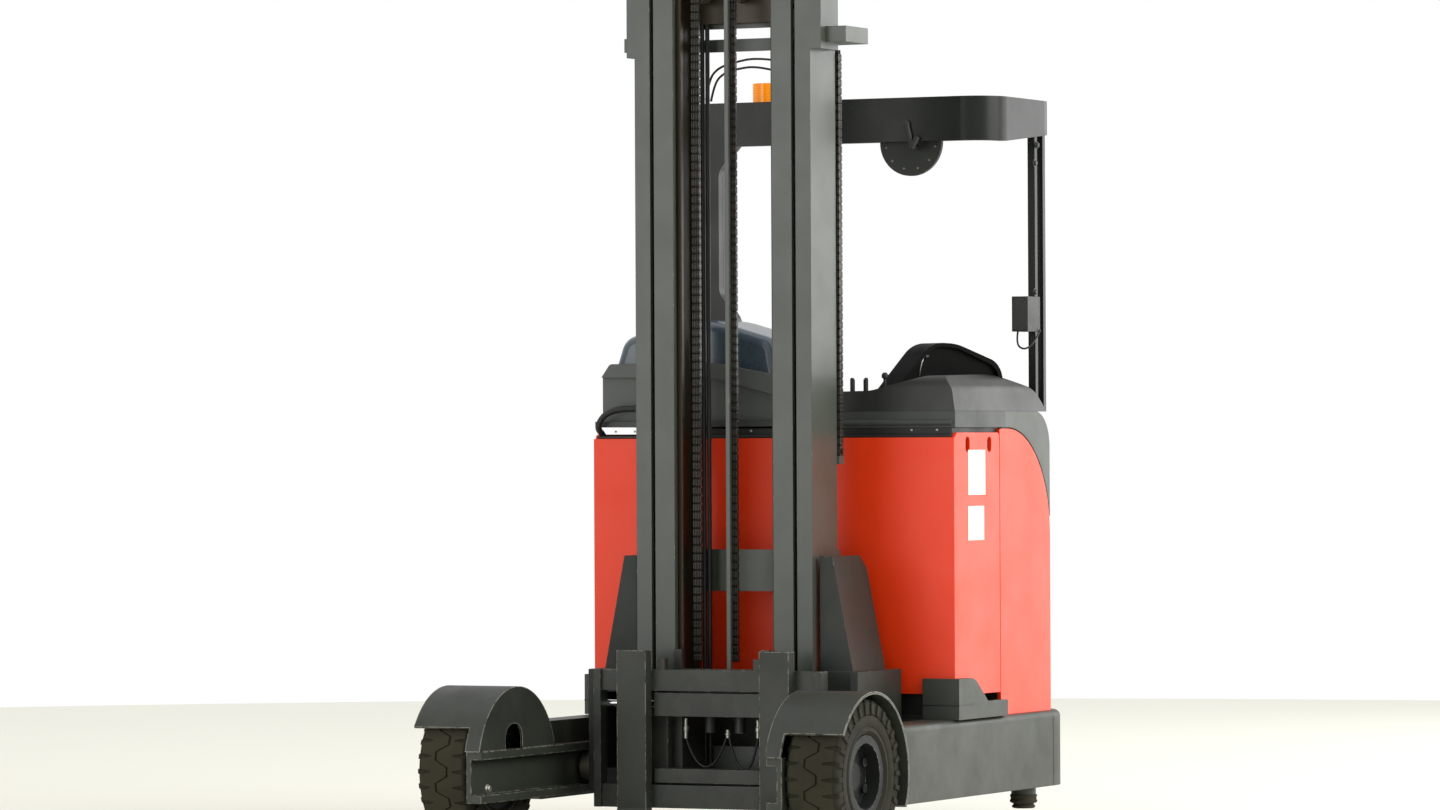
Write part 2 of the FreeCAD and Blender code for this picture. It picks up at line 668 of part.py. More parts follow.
def fenders():
    """Arched plates over the load wheels, each with an inner plate on the leg."""
    centre = (AXLE, S.wheel_radius)
    reach = S.fender_radius * 2
    inner = S.fender_radius - S.fender_plate
    hoop = cut("fender_hoop",
               bar("fender_out", "Y", S.fender_radius, (LEG_INNER, FENDER_FACE), centre),
               bar("fender_in", "Y", inner, (LEG_INNER - 5, FENDER_FACE + 5), centre))
    over = plate("fender_over", "XZ", [
        (AXLE, S.wheel_radius),
        (AXLE + reach * cosine(S.fender_front), S.wheel_radius + reach * sine(S.fender_front)),
        (AXLE, S.wheel_radius + reach * 2),
        (AXLE - reach, S.wheel_radius + reach),
        (AXLE - reach * cosine(S.fender_rear), S.wheel_radius - reach * sine(S.fender_rear)),
    ], (LEG_FACE, FENDER_FACE + 1))
    above_leg = (LEG_TOP, S.wheel_radius + reach)
    beside = block("fender_beside", (AXLE - reach, AXLE + reach), (LEG_INNER - 1, LEG_FACE), above_leg)
    arch = common("fender_arch", hoop, fuse("fender_keep", over, beside))
    disc = bar("cheek_disc", "Y", S.fender_radius - S.fender_plate / 2,
               (LEG_INNER, LEG_INNER + S.fender_plate), centre)
    half_disc = block("cheek_keep", (AXLE - reach, AXLE + reach), (LEG_INNER - 1, LEG_FACE), above_leg)
    cheek = common("fender_cheek", disc, half_disc)
    left = AXLE + S.arch_forward - S.arch_width / 2
    right = left + S.arch_width
    window = plate("cheek_window", "XZ", [
        (left, LEG_TOP - 5), (right, LEG_TOP - 5),
        (right, LEG_TOP + S.arch_height, S.arch_width * 0.42),
        (left, LEG_TOP + S.arch_height, S.arch_width * 0.42),
    ], (LEG_INNER - 2, LEG_INNER + S.fender_plate + 2))
    fender = fuse("fender", arch, cut("cheek_open", cheek, window))
    node(pair("fenders_pair", fender), "fenders")


def load_wheel(side, word):
    """A pressed rim with hub, disc and nuts, and its solid tyre."""
    centre = (AXLE, S.wheel_radius)
    lip_out = TYRE_OUT - S.lip_inset
    lip_in = TYRE_IN + S.lip_inset
    seat_out = lip_out - S.lip_width
    seat_in = lip_in + S.lip_width
    disc_out = lip_out - S.disc_depth
    disc_in = disc_out - S.disc_wall
    hub_in = disc_in - S.hub_depth
    bore = S.spindle_radius + S.running_gap
    shell = S.bead_radius - S.rim_wall
    bead = S.lip_radius + 1
    swell = S.lip_radius + 12
    edge = S.tyre_edge
    tread = S.wheel_radius
    tyre = turned(f"tyre_{word}", [
        (seat_out * side, S.bead_radius), (seat_out * side, bead), (TYRE_OUT * side, swell),
        (TYRE_OUT * side, tread - edge), ((TYRE_OUT - edge) * side, tread),
        ((TYRE_IN + edge) * side, tread), (TYRE_IN * side, tread - edge),
        (TYRE_IN * side, swell), (seat_in * side, bead), (seat_in * side, S.bead_radius),
    ], centre)
    node(tyre, f"load_tyre_{word}")
    rim = turned(f"rim_{word}", [
        (lip_out * side, shell), (lip_out * side, S.lip_radius), (seat_out * side, S.lip_radius),
        (seat_out * side, S.bead_radius), (seat_in * side, S.bead_radius),
        (seat_in * side, S.lip_radius), (lip_in * side, S.lip_radius), (lip_in * side, shell),
        (disc_in * side, shell), (disc_in * side, S.hub_radius), (hub_in * side, S.hub_radius),
        (hub_in * side, bore), ((disc_out - S.cap_recess) * side, bore),
        ((disc_out - S.cap_recess) * side, 0), ((disc_out + S.cap_height) * side, 0),
        ((disc_out + S.cap_height) * side, S.cap_radius), (disc_out * side, S.cap_radius),
        (disc_out * side, shell),
    ], centre)
    nuts = []
    for number in range(NUTS):
        angle = 360 * (number + 0.5) / NUTS
        ends = (disc_out * side, (disc_out + S.nut_height) * side)
        place = (AXLE + S.nut_circle * cosine(angle), S.wheel_radius + S.nut_circle * sine(angle))
        nuts.append(bar(f"nut_{word}{number}", "Y", S.nut_radius, ends[::side], place))
    node(fuse(f"rim_{word}_nuts", rim, *nuts), f"load_rim_{word}")


def drive_unit():
    """Steered gearbox and motor with the drive wheel between its cheeks."""
    centre = (DRIVE_X, S.drive_radius)
    y = -S.drive_offset
    side_low = y - S.drive_width / 2
    side_high = y + S.drive_width / 2
    core = S.drive_radius - S.drive_tread
    node(cut("drive_rubber", bar("drive_out", "Y", S.drive_radius, (side_low, side_high), centre),
             bar("drive_seat", "Y", core, (side_low - 5, side_high + 5), centre)), "drive_tyre")
    reach = S.cheek_gap + S.cheek_wall
    node(fuse("drive_core", bar("drive_disc", "Y", core, (side_low, side_high), centre),
              bar("drive_shaft", "Y", S.drive_shaft, (side_low - reach, side_high + reach), centre)),
         "drive_hub")
    crown_low = S.chassis_top - S.crown_drop
    profile = [
        (DRIVE_X - 95, crown_low), (DRIVE_X - 50, S.drive_radius - 60, 36),
        (DRIVE_X + 50, S.drive_radius - 60, 36), (DRIVE_X + 95, crown_low),
    ]
    low_cheek = plate("drive_cheek_right", "XZ", profile, (side_low - reach, side_low - S.cheek_gap))
    high_cheek = plate("drive_cheek_left", "XZ", profile, (side_high + S.cheek_gap, side_high + reach))
    crown = bar("drive_crown", "Z", S.gearbox_radius, (crown_low, FLOOR + S.crown_rise), (DRIVE_X, y))
    collar = bar("drive_collar", "Z", S.gearbox_radius + S.collar_rim,
                 (FLOOR + S.roller_play, FLOOR + S.crown_rise), (DRIVE_X, y))
    bores = bar("drive_bores", "Y", S.drive_shaft + S.running_gap,
                (side_low - reach - 5, side_high + reach + 5), centre)
    node(cut("drive_case", fuse("drive_body", crown, collar, low_cheek, high_cheek), bores), "drive_gearbox")
    node(bar("motor_can", "Z", S.motor_radius,
             (FLOOR + S.crown_rise, FLOOR + S.crown_rise + S.motor_height), (DRIVE_X, y)), "drive_motor")


def cab_floor():
    """Cab floor plate with the drive unit's opening."""
    inset = S.chassis_edge + 12
    edge = HALF - inset
    front = bay(S.cross_share)
    deck = plate("floor_outline", "XY", [
        (front, edge), (TAIL + inset, edge, S.chassis_round - inset),
        (TAIL + inset, -edge, S.chassis_round - inset), (front, -edge),
    ], (S.chassis_top, FLOOR))
    hole = bar("floor_hole", "Z", S.gearbox_radius + 8, (S.chassis_top - 5, FLOOR + 5),
               (DRIVE_X, -S.drive_offset))
    node(cut("floor_open", deck, hole), "cab_floor")


def reach_cylinder():
    """Barrel fixed in the cross wall and the rod that pushes the reach carriage."""
    place = (S.reach_side, S.reach_high)
    mouth = bay(S.cross_share) + 6
    base = mouth - S.reach_stroke - S.reach_tail
    bore = S.reach_rod + S.running_gap
    barrel = cut("reach_tube", bar("reach_outer", "X", S.reach_barrel, (base, mouth), place),
                 bar("reach_inner", "X", bore, (base + 30, mouth + 5), place))
    node(barrel, "reach_barrel")
    rod = bar("reach_shaft", "X", S.reach_rod, (mouth - S.reach_stroke - 60, CARRIAGE_REAR), place)
    node(rod, "reach_rod")


# ---------------------------------------------------------------- superstructure


def battery_bay():
    """Battery, its front and side covers, corner bumpers, frame with bulkhead, and lid."""
    face = bay(S.panel_share)
    inside = face - S.panel_wall
    battery_side = SKIN_IN - S.battery_gap
    node(block("battery_block", (SEAM + 14, inside - 8), (-battery_side, battery_side),
               (FLOOR, S.battery_top)), "battery")
    node(block("front_sheet", (inside, face), (-BODY_HALF, BODY_HALF), (S.panel_low, S.panel_top)),
         "front_panel")
    lip = S.panel_top + 14
    strap = plate("side_cover", "XZ", [
        (inside, S.panel_low - 5), (inside, lip, 16), (SEAM + S.seam_gap, lip, 16),
        (SEAM + S.seam_gap, S.panel_low - 5),
    ], (SKIN_IN, BODY_HALF))
    slots = []
    for number, share in enumerate((0.27, 0.76)):
        x = inside + (SEAM - inside) * share
        slots.append(plate(f"side_slot{number}", "XZ", [
            (x - 16, S.panel_top - 46, 15), (x + 16, S.panel_top - 46, 15),
            (x + 16, S.panel_top + 2, 15), (x - 16, S.panel_top + 2, 15),
        ], (SKIN_IN - 5, BODY_HALF + 5)))
    node(pair("covers_pair", cut("side_cover_cut", strap, *slots)), "battery_side_covers")
    frame = block("frame_block", (SEAM, inside), (-S.shelf_open, SKIN_IN), (S.battery_top, S.cover_low))
    rest = block("frame_rest", (SEAM, SEAM + 60), (-S.shelf_open, -60), (S.cover_low, S.shelf_low))
    bulkhead = block("bulkhead_sheet", (SEAM - S.panel_wall, SEAM), (-SKIN_IN, SKIN_IN),
                     (FLOOR, S.cover_low))
    node(fuse("battery_housing", frame, rest, bulkhead), "battery_frame")
    slab = block("cover_slab", (COVER_END, face - 10), (S.seat_edge + 1, BODY_HALF),
                 (S.cover_low, COVER_TOP))
    shelf = block("cover_shelf", (COVER_END, face - 10), (-BODY_HALF, S.seat_edge + 1),
                  (S.shelf_low, SHELF_TOP))
    tube = bar("cover_tube", "Y", S.hinge_tube, (CONSOLE_IN, BODY_HALF - 10),
               (face - 10, S.cover_low + S.hinge_tube + 6))
    node(fuse("cover", slab, shelf, tube), "battery_cover")
    low = S.chassis_top
    ledge = low + S.bumper_ledge
    high = low + S.bumper_height
    nose = face + S.bumper_thick
    side = plate("bumper_side", "XZ", [
        (face, low), (face, high), (face - S.bumper_return, high, 90), (face - S.bumper_return * 2, ledge, 4),
        (SEAM, ledge, 8), (SEAM, low),
    ], (BODY_HALF, BODY_HALF + S.bumper_thick))
    front = block("bumper_front", (face, nose), (BODY_HALF - S.bumper_return, BODY_HALF + S.bumper_thick),
                  (low, high))
    node(pair("bumpers_pair", fuse("bumper", side, front)), "corner_bumpers")


def cab_walls():
    """Console column, red side panels, grey hoods, rear and right walls."""
    wall = S.panel_wall
    column = plate("column_side", "XZ", [
        (COVER_END, FLOOR), (COVER_END, COVER_TOP), (COLUMN_END, COVER_TOP, S.hood_curve),
        (COLUMN_END, FLOOR),
    ], (SKIN_IN - S.column_width, SKIN_IN))
    node(column, "console_column")
    red = plate("red_side", "XZ", [
        (SEAM, S.chassis_top), (SEAM, S.cover_low - S.seam_gap, 8),
        (COLUMN_END, S.cover_low - S.seam_gap, S.panel_curve), (COLUMN_END, S.chassis_top),
    ], (SKIN_IN, BODY_HALF))
    node(pair("red_pair", red), "side_panels")
    hood_low = S.cover_low - S.panel_curve
    shade = plate("hood_shade", "XZ", [
        (COVER_END, hood_low), (COVER_END, COVER_TOP), (COLUMN_END, COVER_TOP, S.hood_curve),
        (COLUMN_END, hood_low),
    ], (SKIN_IN, BODY_HALF))
    taken = plate("hood_taken", "XZ", [
        (COVER_END + 5, hood_low - 5), (COVER_END + 5, S.cover_low),
        (COLUMN_END - S.seam_gap, S.cover_low, S.panel_curve), (COLUMN_END - S.seam_gap, hood_low - 5),
    ], (SKIN_IN - 5, BODY_HALF + 5))
    node(pair("hoods_pair", cut("hood", shade, taken)), "side_hoods")
    rear = TAIL + 45
    rear_sheet = block("rear_sheet", (rear, rear + wall), (-LEG_FACE, S.entrance_edge),
                       (FLOOR, S.cover_low))
    right_sheet = plate("right_sheet", "XZ", [
        (COVER_END, FLOOR), (COVER_END, COVER_TOP), (COLUMN_END, COVER_TOP, S.hood_curve),
        (COLUMN_END, FLOOR),
    ], (-SKIN_IN, wall - SKIN_IN))
    node(group("walls", rear_sheet, right_sheet), "cab_walls")


def left_posts(low, play):
    """The guard's two left posts from a height up to its frame, grown by a play all round."""
    outer = GUARD_HALF + play
    posts = []
    for word, back, inset in (("front", S.front_post_share, 4), ("rear", S.rear_post_share, 0)):
        x = bay(back)
        posts.append(block(f"post_{word}_{low.value:.0f}", (x - S.post_depth - play, x + play),
                           (GUARD_HALF - inset - S.post_width - play, outer - inset),
                           (low, S.guard_top - S.guard_side_depth)))
    return posts


def console():
    """Moulded console over the battery's left end, with hood, levers and knob."""
    inner_top = COVER_TOP + S.console_lift
    ridge = inner_top + S.console_rise
    front = bay(S.panel_share) - 10
    rise = plate("console_rise", "XZ", [
        (front, COVER_TOP), (front - 12, ridge - 6, 40), (COLUMN_END + 330, ridge + 2, 500),
        (COLUMN_END + 90, ridge - 42, 160), (COLUMN_END + 20, COVER_TOP),
    ], (CONSOLE_IN, BODY_HALF))
    sweep = plate("console_sweep", "YZ", [
        (CONSOLE_IN, COVER_TOP - 5), (CONSOLE_IN, inner_top, 12),
        (CONSOLE_IN + 105, inner_top + 2, 120), (BODY_HALF - 56, ridge + 8, 50),
        (BODY_HALF - 14, ridge - 44, 50), (BODY_HALF, COVER_TOP - 5),
    ], (COLUMN_END - 5, front + 5))
    body = common("console_shell", rise, sweep)
    shell = cut("console_notched", body, *left_posts(COVER_TOP - 1, as_size(1)))
    node(shell, "console")
    top = inner_top - 25
    levers = []
    for number in range(LEVERS):
        levers.append(bar(f"lever{number}", "Z", S.lever_radius, (top, top + S.lever_height),
                          (front - 60, CONSOLE_IN + 20 + S.lever_pitch * number)))
    node(cut("levers_seated", group("levers", *levers), shell), "control_levers")
    length = S.visor_length
    height = S.visor_height
    rim = S.visor_rim
    half = S.visor_depth / 2
    visor = plate("visor_side", "XZ", [
        (0, 0), (length * 0.41, height, 105), (length * 0.6, height * 0.98, 200),
        (length * 0.94, height * 0.7, 70), (length, 0),
    ], (-half, half))
    face = plate("visor_face", "XZ", [
        (rim * 2.2, -5), (length * 0.41, height - rim, 95), (length * 0.6, height * 0.98 - rim, 190),
        (length * 0.94 - rim, height * 0.7 - rim, 60), (length - rim, -5),
    ], (-half - 5, S.visor_recess - half))
    for piece in (visor, face):
        piece.Placement.Rotation = Rotation(Vector(0, 0, 1), 180 - S.visor_turn.value)
        piece.setExpression("Placement.Base.x", (front - 50).text)
        piece.setExpression("Placement.Base.y", (CONSOLE_IN + 82).text)
        piece.setExpression("Placement.Base.z", COVER_TOP.text)
    node(cut("visor_seated", visor, face, shell), "steering_hood")


def seat():
    """Sloping seat hood with its lip and shell, seat base, cushion and backrest."""
    front = bay(S.panel_share) - 30
    rear = bay(S.guard_share) + 5
    right = S.seat_hood_inset - BODY_HALF
    left = S.seat_edge
    width = left - right
    knee = left - width * 0.3655
    high = SHELF_TOP + S.seat_hood_height
    lip = S.seat_lip
    drop = S.seat_drop
    body = plate("seat_hood_side", "YZ", [
        (right, SHELF_TOP), (right, high + 5), (knee, high, width * 0.34),
        (left, high - drop, 5), (left, SHELF_TOP),
    ], (rear, front))
    edge = plate("seat_lip_side", "YZ", [
        (right + 2, high + 2), (right + 32, high + lip, 18), (knee, high + lip, width * 0.34),
        (left + 4, high + lip - drop * 0.7, 10), (left + 4, high - drop - 2, 4),
        (knee, high - 2, width * 0.34),
    ], (rear, front + 14))
    hood = fuse("seat_hood_lipped", body, edge)
    node(hood, "seat_hood")
    shell = plate("shell_side", "YZ", [
        (right + 36, high + lip), (right + 62, high + lip + S.shell_height * 0.55, 60),
        (right + width * 0.3, high + lip + S.shell_height * 0.85, width * 0.26),
        (knee - width * 0.07, high + lip + S.shell_height, width * 0.45),
        (left - 40, high + lip + S.shell_height * 0.52, 60), (left - 16, high + lip - drop * 0.7),
        (knee, high + lip, width * 0.33),
    ], (rear, front - 12))
    top = (high + lip + S.shell_height * 0.3).value
    node(cut("shell_seated", rounded(shell, 34, lambda point: point.z > top), hood), "seat_shell")
    seat_x = ((bay(S.guard_share) - S.guard_length) + S.guard_post + 5, COVER_END - S.seat_inset)
    side = -SKIN_IN + S.panel_wall
    node(block("seat_box", seat_x, (side, -S.seat_side),
               (FLOOR + S.crown_rise + S.motor_height + 10, S.seat_level)),
         "seat_base")
    cushion = block("cushion_block", (seat_x[0] + 20, seat_x[1] - 20),
                    (side + S.backrest_thick + 10, -S.seat_side - 10),
                    (S.seat_level, S.seat_level + S.cushion_height))
    back = block("back_block", (seat_x[0] + 20, seat_x[1] - 20), (side + 5, side + 5 + S.backrest_thick),
                 (S.seat_level, S.seat_level + S.cushion_height + S.backrest_height))
    node(group("cushions", cushion, back), "seat_cushions")


def overhead_guard():
    """Guard frame with a deep front beam, roof bars, posts, beacon and mirror."""
    front = bay(S.guard_share)
    rear = front - S.guard_length
    half = GUARD_HALF
    wall = S.guard_wall
    low = S.guard_top - S.guard_side_depth
    deep = S.guard_top - S.guard_depth
    ring = plate("guard_ring", "XY", [
        (front, -half, 30), (front, half, S.guard_round), (rear, half, S.guard_round), (rear, -half, 30),
    ], (deep, S.guard_top))
    opening = plate("guard_opening", "XY", [
        (front - wall, wall - half, 5), (front - wall, half - wall, S.guard_round - wall),
        (rear + wall, half - wall, S.guard_round - wall), (rear + wall, wall - half, 5),
    ], (deep - 10, S.guard_top + 10))
    trim = plate("guard_trim", "XZ", [
        (rear - 10, deep - 10), (rear - 10, low), (rear + S.guard_post, low),
        (front - S.guard_round, deep), (front - S.guard_round, deep - 10),
    ], (-half - 10, half + 10))
    bars = []
    for number in range(ROOF_BARS):
        y = half * (2 * (number + 1) / (ROOF_BARS + 1) - 1)
        bars.append(block(f"guard_bar{number}", (rear + wall, front - wall),
                          (y - S.guard_bar / 2, y + S.guard_bar / 2),
                          (S.guard_top - S.guard_bar_drop - S.guard_bar_depth,
                           S.guard_top - S.guard_bar_drop)))
    frame = cut("guard_frame", ring, opening, trim)
    roof = fuse("guard_roof", frame, *bars)
    posts = [
        block("post_right_rear", (rear, rear + S.guard_post), (-half, S.guard_post - half), (FLOOR, low)),
        plate("post_right_front", "YZ", [
            (12 - half, SHELF_TOP), (12 - half, deep), (330 - half, deep), (262 - half, deep - 75, 60),
            (262 - half, COVER_TOP + S.window_low, 60), (330 - half, COVER_TOP + S.window_low - 80, 60),
            (330 - half, SHELF_TOP),
        ], (front - wall, front)),
    ]
    node(fuse("guard", roof, *left_posts(COVER_TOP, as_size(0)), *posts), "overhead_guard")


def roof_fittings():
    """Beacon on a roof bar, mirror disc under the front beam and terminal on the front post."""
    front = bay(S.guard_share)
    place = (front - S.guard_wall - S.beacon_radius - 8, -S.beacon_side)
    foot = S.guard_top - S.guard_bar_drop
    base = bar("beacon_foot", "Z", S.beacon_radius + 6, (foot, foot + 12), place)
    node(base, "beacon_base")
    lens = bar("beacon_glass", "Z", S.beacon_radius, (foot + 12, foot + 12 + S.beacon_height), place)
    node(lens, "beacon_lens")
    back = front - S.guard_wall
    level = S.guard_top - S.guard_depth
    disc = bar("mirror_disc", "X", S.disc_radius, (back - 22, back - 8), (S.mirror_side, level))
    arm = block("mirror_arm", (back - 8, back), (S.mirror_side - 18, S.mirror_side + 18),
                (level + 10, level + 78))
    x = bay(S.front_post_share)
    outer = GUARD_HALF + S.guard_inset
    box = block("terminal_box", (x, x + S.terminal_depth), (outer - S.terminal_width, outer),
                (S.terminal_low, S.terminal_low + S.terminal_height))
    node(group("fittings", fuse("mirror", disc, arm), box), "cab_fittings")


# ---------------------------------------------------------------- reach carriage and mast


def reach_frame():
    """Side plates between the legs, rear plate, mast feet and tapered gussets."""
    inner = CARRIAGE_HALF - S.carriage_plate
    side = block("carriage_side", (CARRIAGE_REAR, CARRIAGE_FRONT), (inner, CARRIAGE_HALF),
                 (S.carriage_low, S.carriage_top))
    foot = block("mast_foot", (MAST_REAR, MAST_FACE - 12), (S.mast_half, inner),
                 (S.carriage_top - 70, S.carriage_top))
    low_foot = block("mast_low_foot", (MAST_REAR, MAST_FACE - 12), (S.mast_half, inner),
                     (S.carriage_low, S.carriage_low + 60))
    near = S.mast_half + S.gusset_gap
    front = plate("gusset_front", "YZ", [
        (near, S.carriage_top - 10), (near, S.gusset_top), (near + S.gusset_narrow, S.gusset_top),
        (near + S.gusset_wide, S.carriage_top - 10),
    ], (MAST_FACE - 40, MAST_FACE - 40 + S.gusset_plate))
    cover_rear = MAST_FACE - 40 - S.gusset_depth
    sheet_side = plate("gusset_side", "YZ", [
        (near + S.gusset_narrow - S.gusset_cover, S.gusset_top), (near + S.gusset_narrow, S.gusset_top),
        (near + S.gusset_wide, S.carriage_top - 10),
        (near + S.gusset_wide - S.gusset_cover, S.carriage_top - 10),
    ], (cover_rear, MAST_FACE - 40))
    cover_shape = plate("gusset_shape", "XZ", [
        (MAST_FACE, S.carriage_top - 20), (MAST_FACE, S.gusset_top + 5), (cover_rear + 35, S.gusset_top + 5),
        (cover_rear + 35, S.gusset_top, 20), (cover_rear, S.gusset_top - 40, 20),
        (cover_rear, S.carriage_top - 20),
    ], (near, near + S.gusset_wide + 5))
    cover = common("gusset_cover_cut", sheet_side, cover_shape)
    shelf = block("gusset_shelf", (cover_rear, MAST_FACE - 40), (near, CARRIAGE_HALF - S.carriage_plate + 5),
                  (S.carriage_top - 12, S.carriage_top))
    half = fuse("carriage_half_frame", side, foot, low_foot, front, cover, shelf)
    rear = block("carriage_rear", (CARRIAGE_REAR, CARRIAGE_REAR + 20), (-inner, inner),
                 (S.carriage_low + 50, S.carriage_top - 15))
    node(fuse("carriage_frame", half, mirrored(half), rear), "reach_frame")
    rollers = []
    for number, back in enumerate((S.rear_roller_share, S.front_roller_share)):
        rollers.append(bar(f"reach_wheel{number}", "Y", REACH_ROLLER,
                           (CARRIAGE_HALF, CARRIAGE_HALF + S.roller_width),
                           (bay(back), S.leg_low + S.leg_depth / 2)))
    node(pair("reach_wheels", group("reach_wheels_left", *rollers)), "reach_rollers")


def channel(name, plane_front, plane_rear, web_side, flange_side, flange, web, span):
    """An upright channel: web at one side in y, flanges towards the other."""
    inward = 1 if flange_side.value > web_side.value else -1
    web_face = web_side + web * inward
    return plate(name, "XY", [
        (plane_front, web_side), (plane_front, flange_side), (plane_front - flange, flange_side),
        (plane_front - flange, web_face), (plane_rear + flange, web_face),
        (plane_rear + flange, flange_side), (plane_rear, flange_side), (plane_rear, web_side),
    ], span)


def outer_mast():
    """Outer rails, cross bars behind them, shoulder tabs, top rollers and lift barrels."""
    rail = channel("outer_rail", MAST_FACE, MAST_REAR, S.mast_half, S.mast_half - S.outer_flange,
                   S.rail_flange, S.rail_web, (S.mast_low, TOP))
    web = S.mast_half - S.rail_web
    tie_levels = (
        (S.tie_low, S.tie_low + S.tie_height),
        (S.shoulder_low + 12, S.shoulder_low + 50),
        (S.mast_low + 20, S.mast_low + 120),
    )
    ties = []
    for number, levels in enumerate(tie_levels):
        ties.append(block(f"outer_tie{number}", (TIE_REAR, TIE_FACE), (-S.mast_half, S.mast_half), levels))
        pad = block(f"outer_pad{number}", (TIE_FACE, MAST_REAR), (S.mast_half - 30, S.mast_half), levels)
        ties.extend((pad, mirrored(pad)))
    low = S.shoulder_low
    depth = (MAST_FACE - S.shoulder_depth, MAST_FACE)
    left_edge = S.mast_half + S.left_shoulder
    right_edge = S.mast_half + S.right_shoulder
    shoulders = [
        block("left_doubler", depth, (S.mast_half, left_edge), (low, TOP)),
        block("right_doubler", depth, (-right_edge, -S.mast_half), (low - 10, TOP)),
        block("left_tab", (MAST_REAR - 13, MAST_FACE - 31), (S.mast_half, left_edge + 69),
              (low + 20, low + 68)),
        block("right_tab", (MAST_FACE - 100, MAST_FACE - 10), (-right_edge - 13, -S.mast_half),
              (low + 8, low + 50)),
    ]
    anchor_x = MAST_REAR - S.rear_chain_gap - S.rear_chain_thick
    anchor = block("chain_anchor", (anchor_x, MAST_REAR), REAR_CHAIN_Y,
                   (S.rear_chain_low - 25, S.rear_chain_low))
    node(fuse("outer_frame", rail, mirrored(rail), anchor, mirrored(anchor), *shoulders, *ties), "outer_mast")
    level = TOP - 110
    roller = bar("outer_roller", "Y", MAST_ROLLER, (MIDDLE_OUT - 23, MIDDLE_OUT - 5), (MAST_MIDDLE, level))
    axle = bar("outer_axle", "Y", S.mast_axle, (MIDDLE_OUT - 5, web), (MAST_MIDDLE, level))
    node(pair("outer_rollers_pair", fuse("outer_roller_set", roller, axle)), "outer_rollers")
    place = (LIFT_X, S.lift_side)
    barrel = cut("lift_tube", bar("lift_outer", "Z", S.lift_radius, (S.mast_low + 20, S.lift_top), place),
                 bar("lift_bore", "Z", S.lift_rod + S.running_gap, (S.mast_low + 50, S.lift_top + 5), place))
    node(pair("barrels_pair", barrel), "lift_barrels")


def middle_mast():
    """Middle rails with flanges both ways, cross bars, bottom rollers and lift rods."""
    low = S.mast_low + 6
    high = TOP - 8
    mid = (MIDDLE_IN + MIDDLE_OUT) / 2
    web_in = mid - S.rail_web / 2
    web_out = mid + S.rail_web / 2
    front = MAST_FACE - S.rail_flange
    rear = MAST_REAR + S.rail_flange
    rail = plate("middle_rail", "XY", [
        (MAST_FACE, MIDDLE_IN), (MAST_FACE, MIDDLE_OUT), (front, MIDDLE_OUT), (front, web_out),
        (rear, web_out), (rear, MIDDLE_OUT), (MAST_REAR, MIDDLE_OUT), (MAST_REAR, MIDDLE_IN),
        (rear, MIDDLE_IN), (rear, web_in), (front, web_in), (front, MIDDLE_IN),
    ], (low, high))
    bars = []
    for number, (start, height) in enumerate(((TOP - 224, 200), (low + 40, 110))):
        bars.append(block(f"middle_tie{number}", (MAST_REAR, MAST_REAR + 15), (-MIDDLE_IN, MIDDLE_IN),
                          (start, start + height)))
    hand = block("lift_hand", (LIFT_X - S.lift_rod, MAST_REAR), (S.lift_side - 20, S.lift_side + 20),
                 (TOP - 100, TOP - 60))
    palm = block("lift_palm", (MAST_REAR - 20, MAST_REAR), (MIDDLE_IN + 10, S.lift_side + 20),
                 (TOP - 100, TOP - 60))
    holder = fuse("lift_holder", hand, palm)
    node(fuse("middle_frame", rail, mirrored(rail), holder, mirrored(holder), *bars), "middle_mast")
    level = low + MAST_ROLLER + 30
    roller = bar("middle_roller", "Y", MAST_ROLLER,
                 (S.mast_half - S.outer_flange - 8, S.mast_half - S.rail_web - 6), (MAST_MIDDLE, level))
    axle = bar("middle_axle", "Y", S.mast_axle, (web_out, S.mast_half - S.outer_flange - 8),
               (MAST_MIDDLE, level))
    node(pair("middle_rollers_pair", fuse("middle_roller_set", roller, axle)), "middle_rollers")
    rod = bar("lift_shaft", "Z", S.lift_rod, (S.lift_top - S.stage_stroke - 120, TOP - 100),
              (LIFT_X, S.lift_side))
    node(pair("rods_pair", rod), "lift_rods")


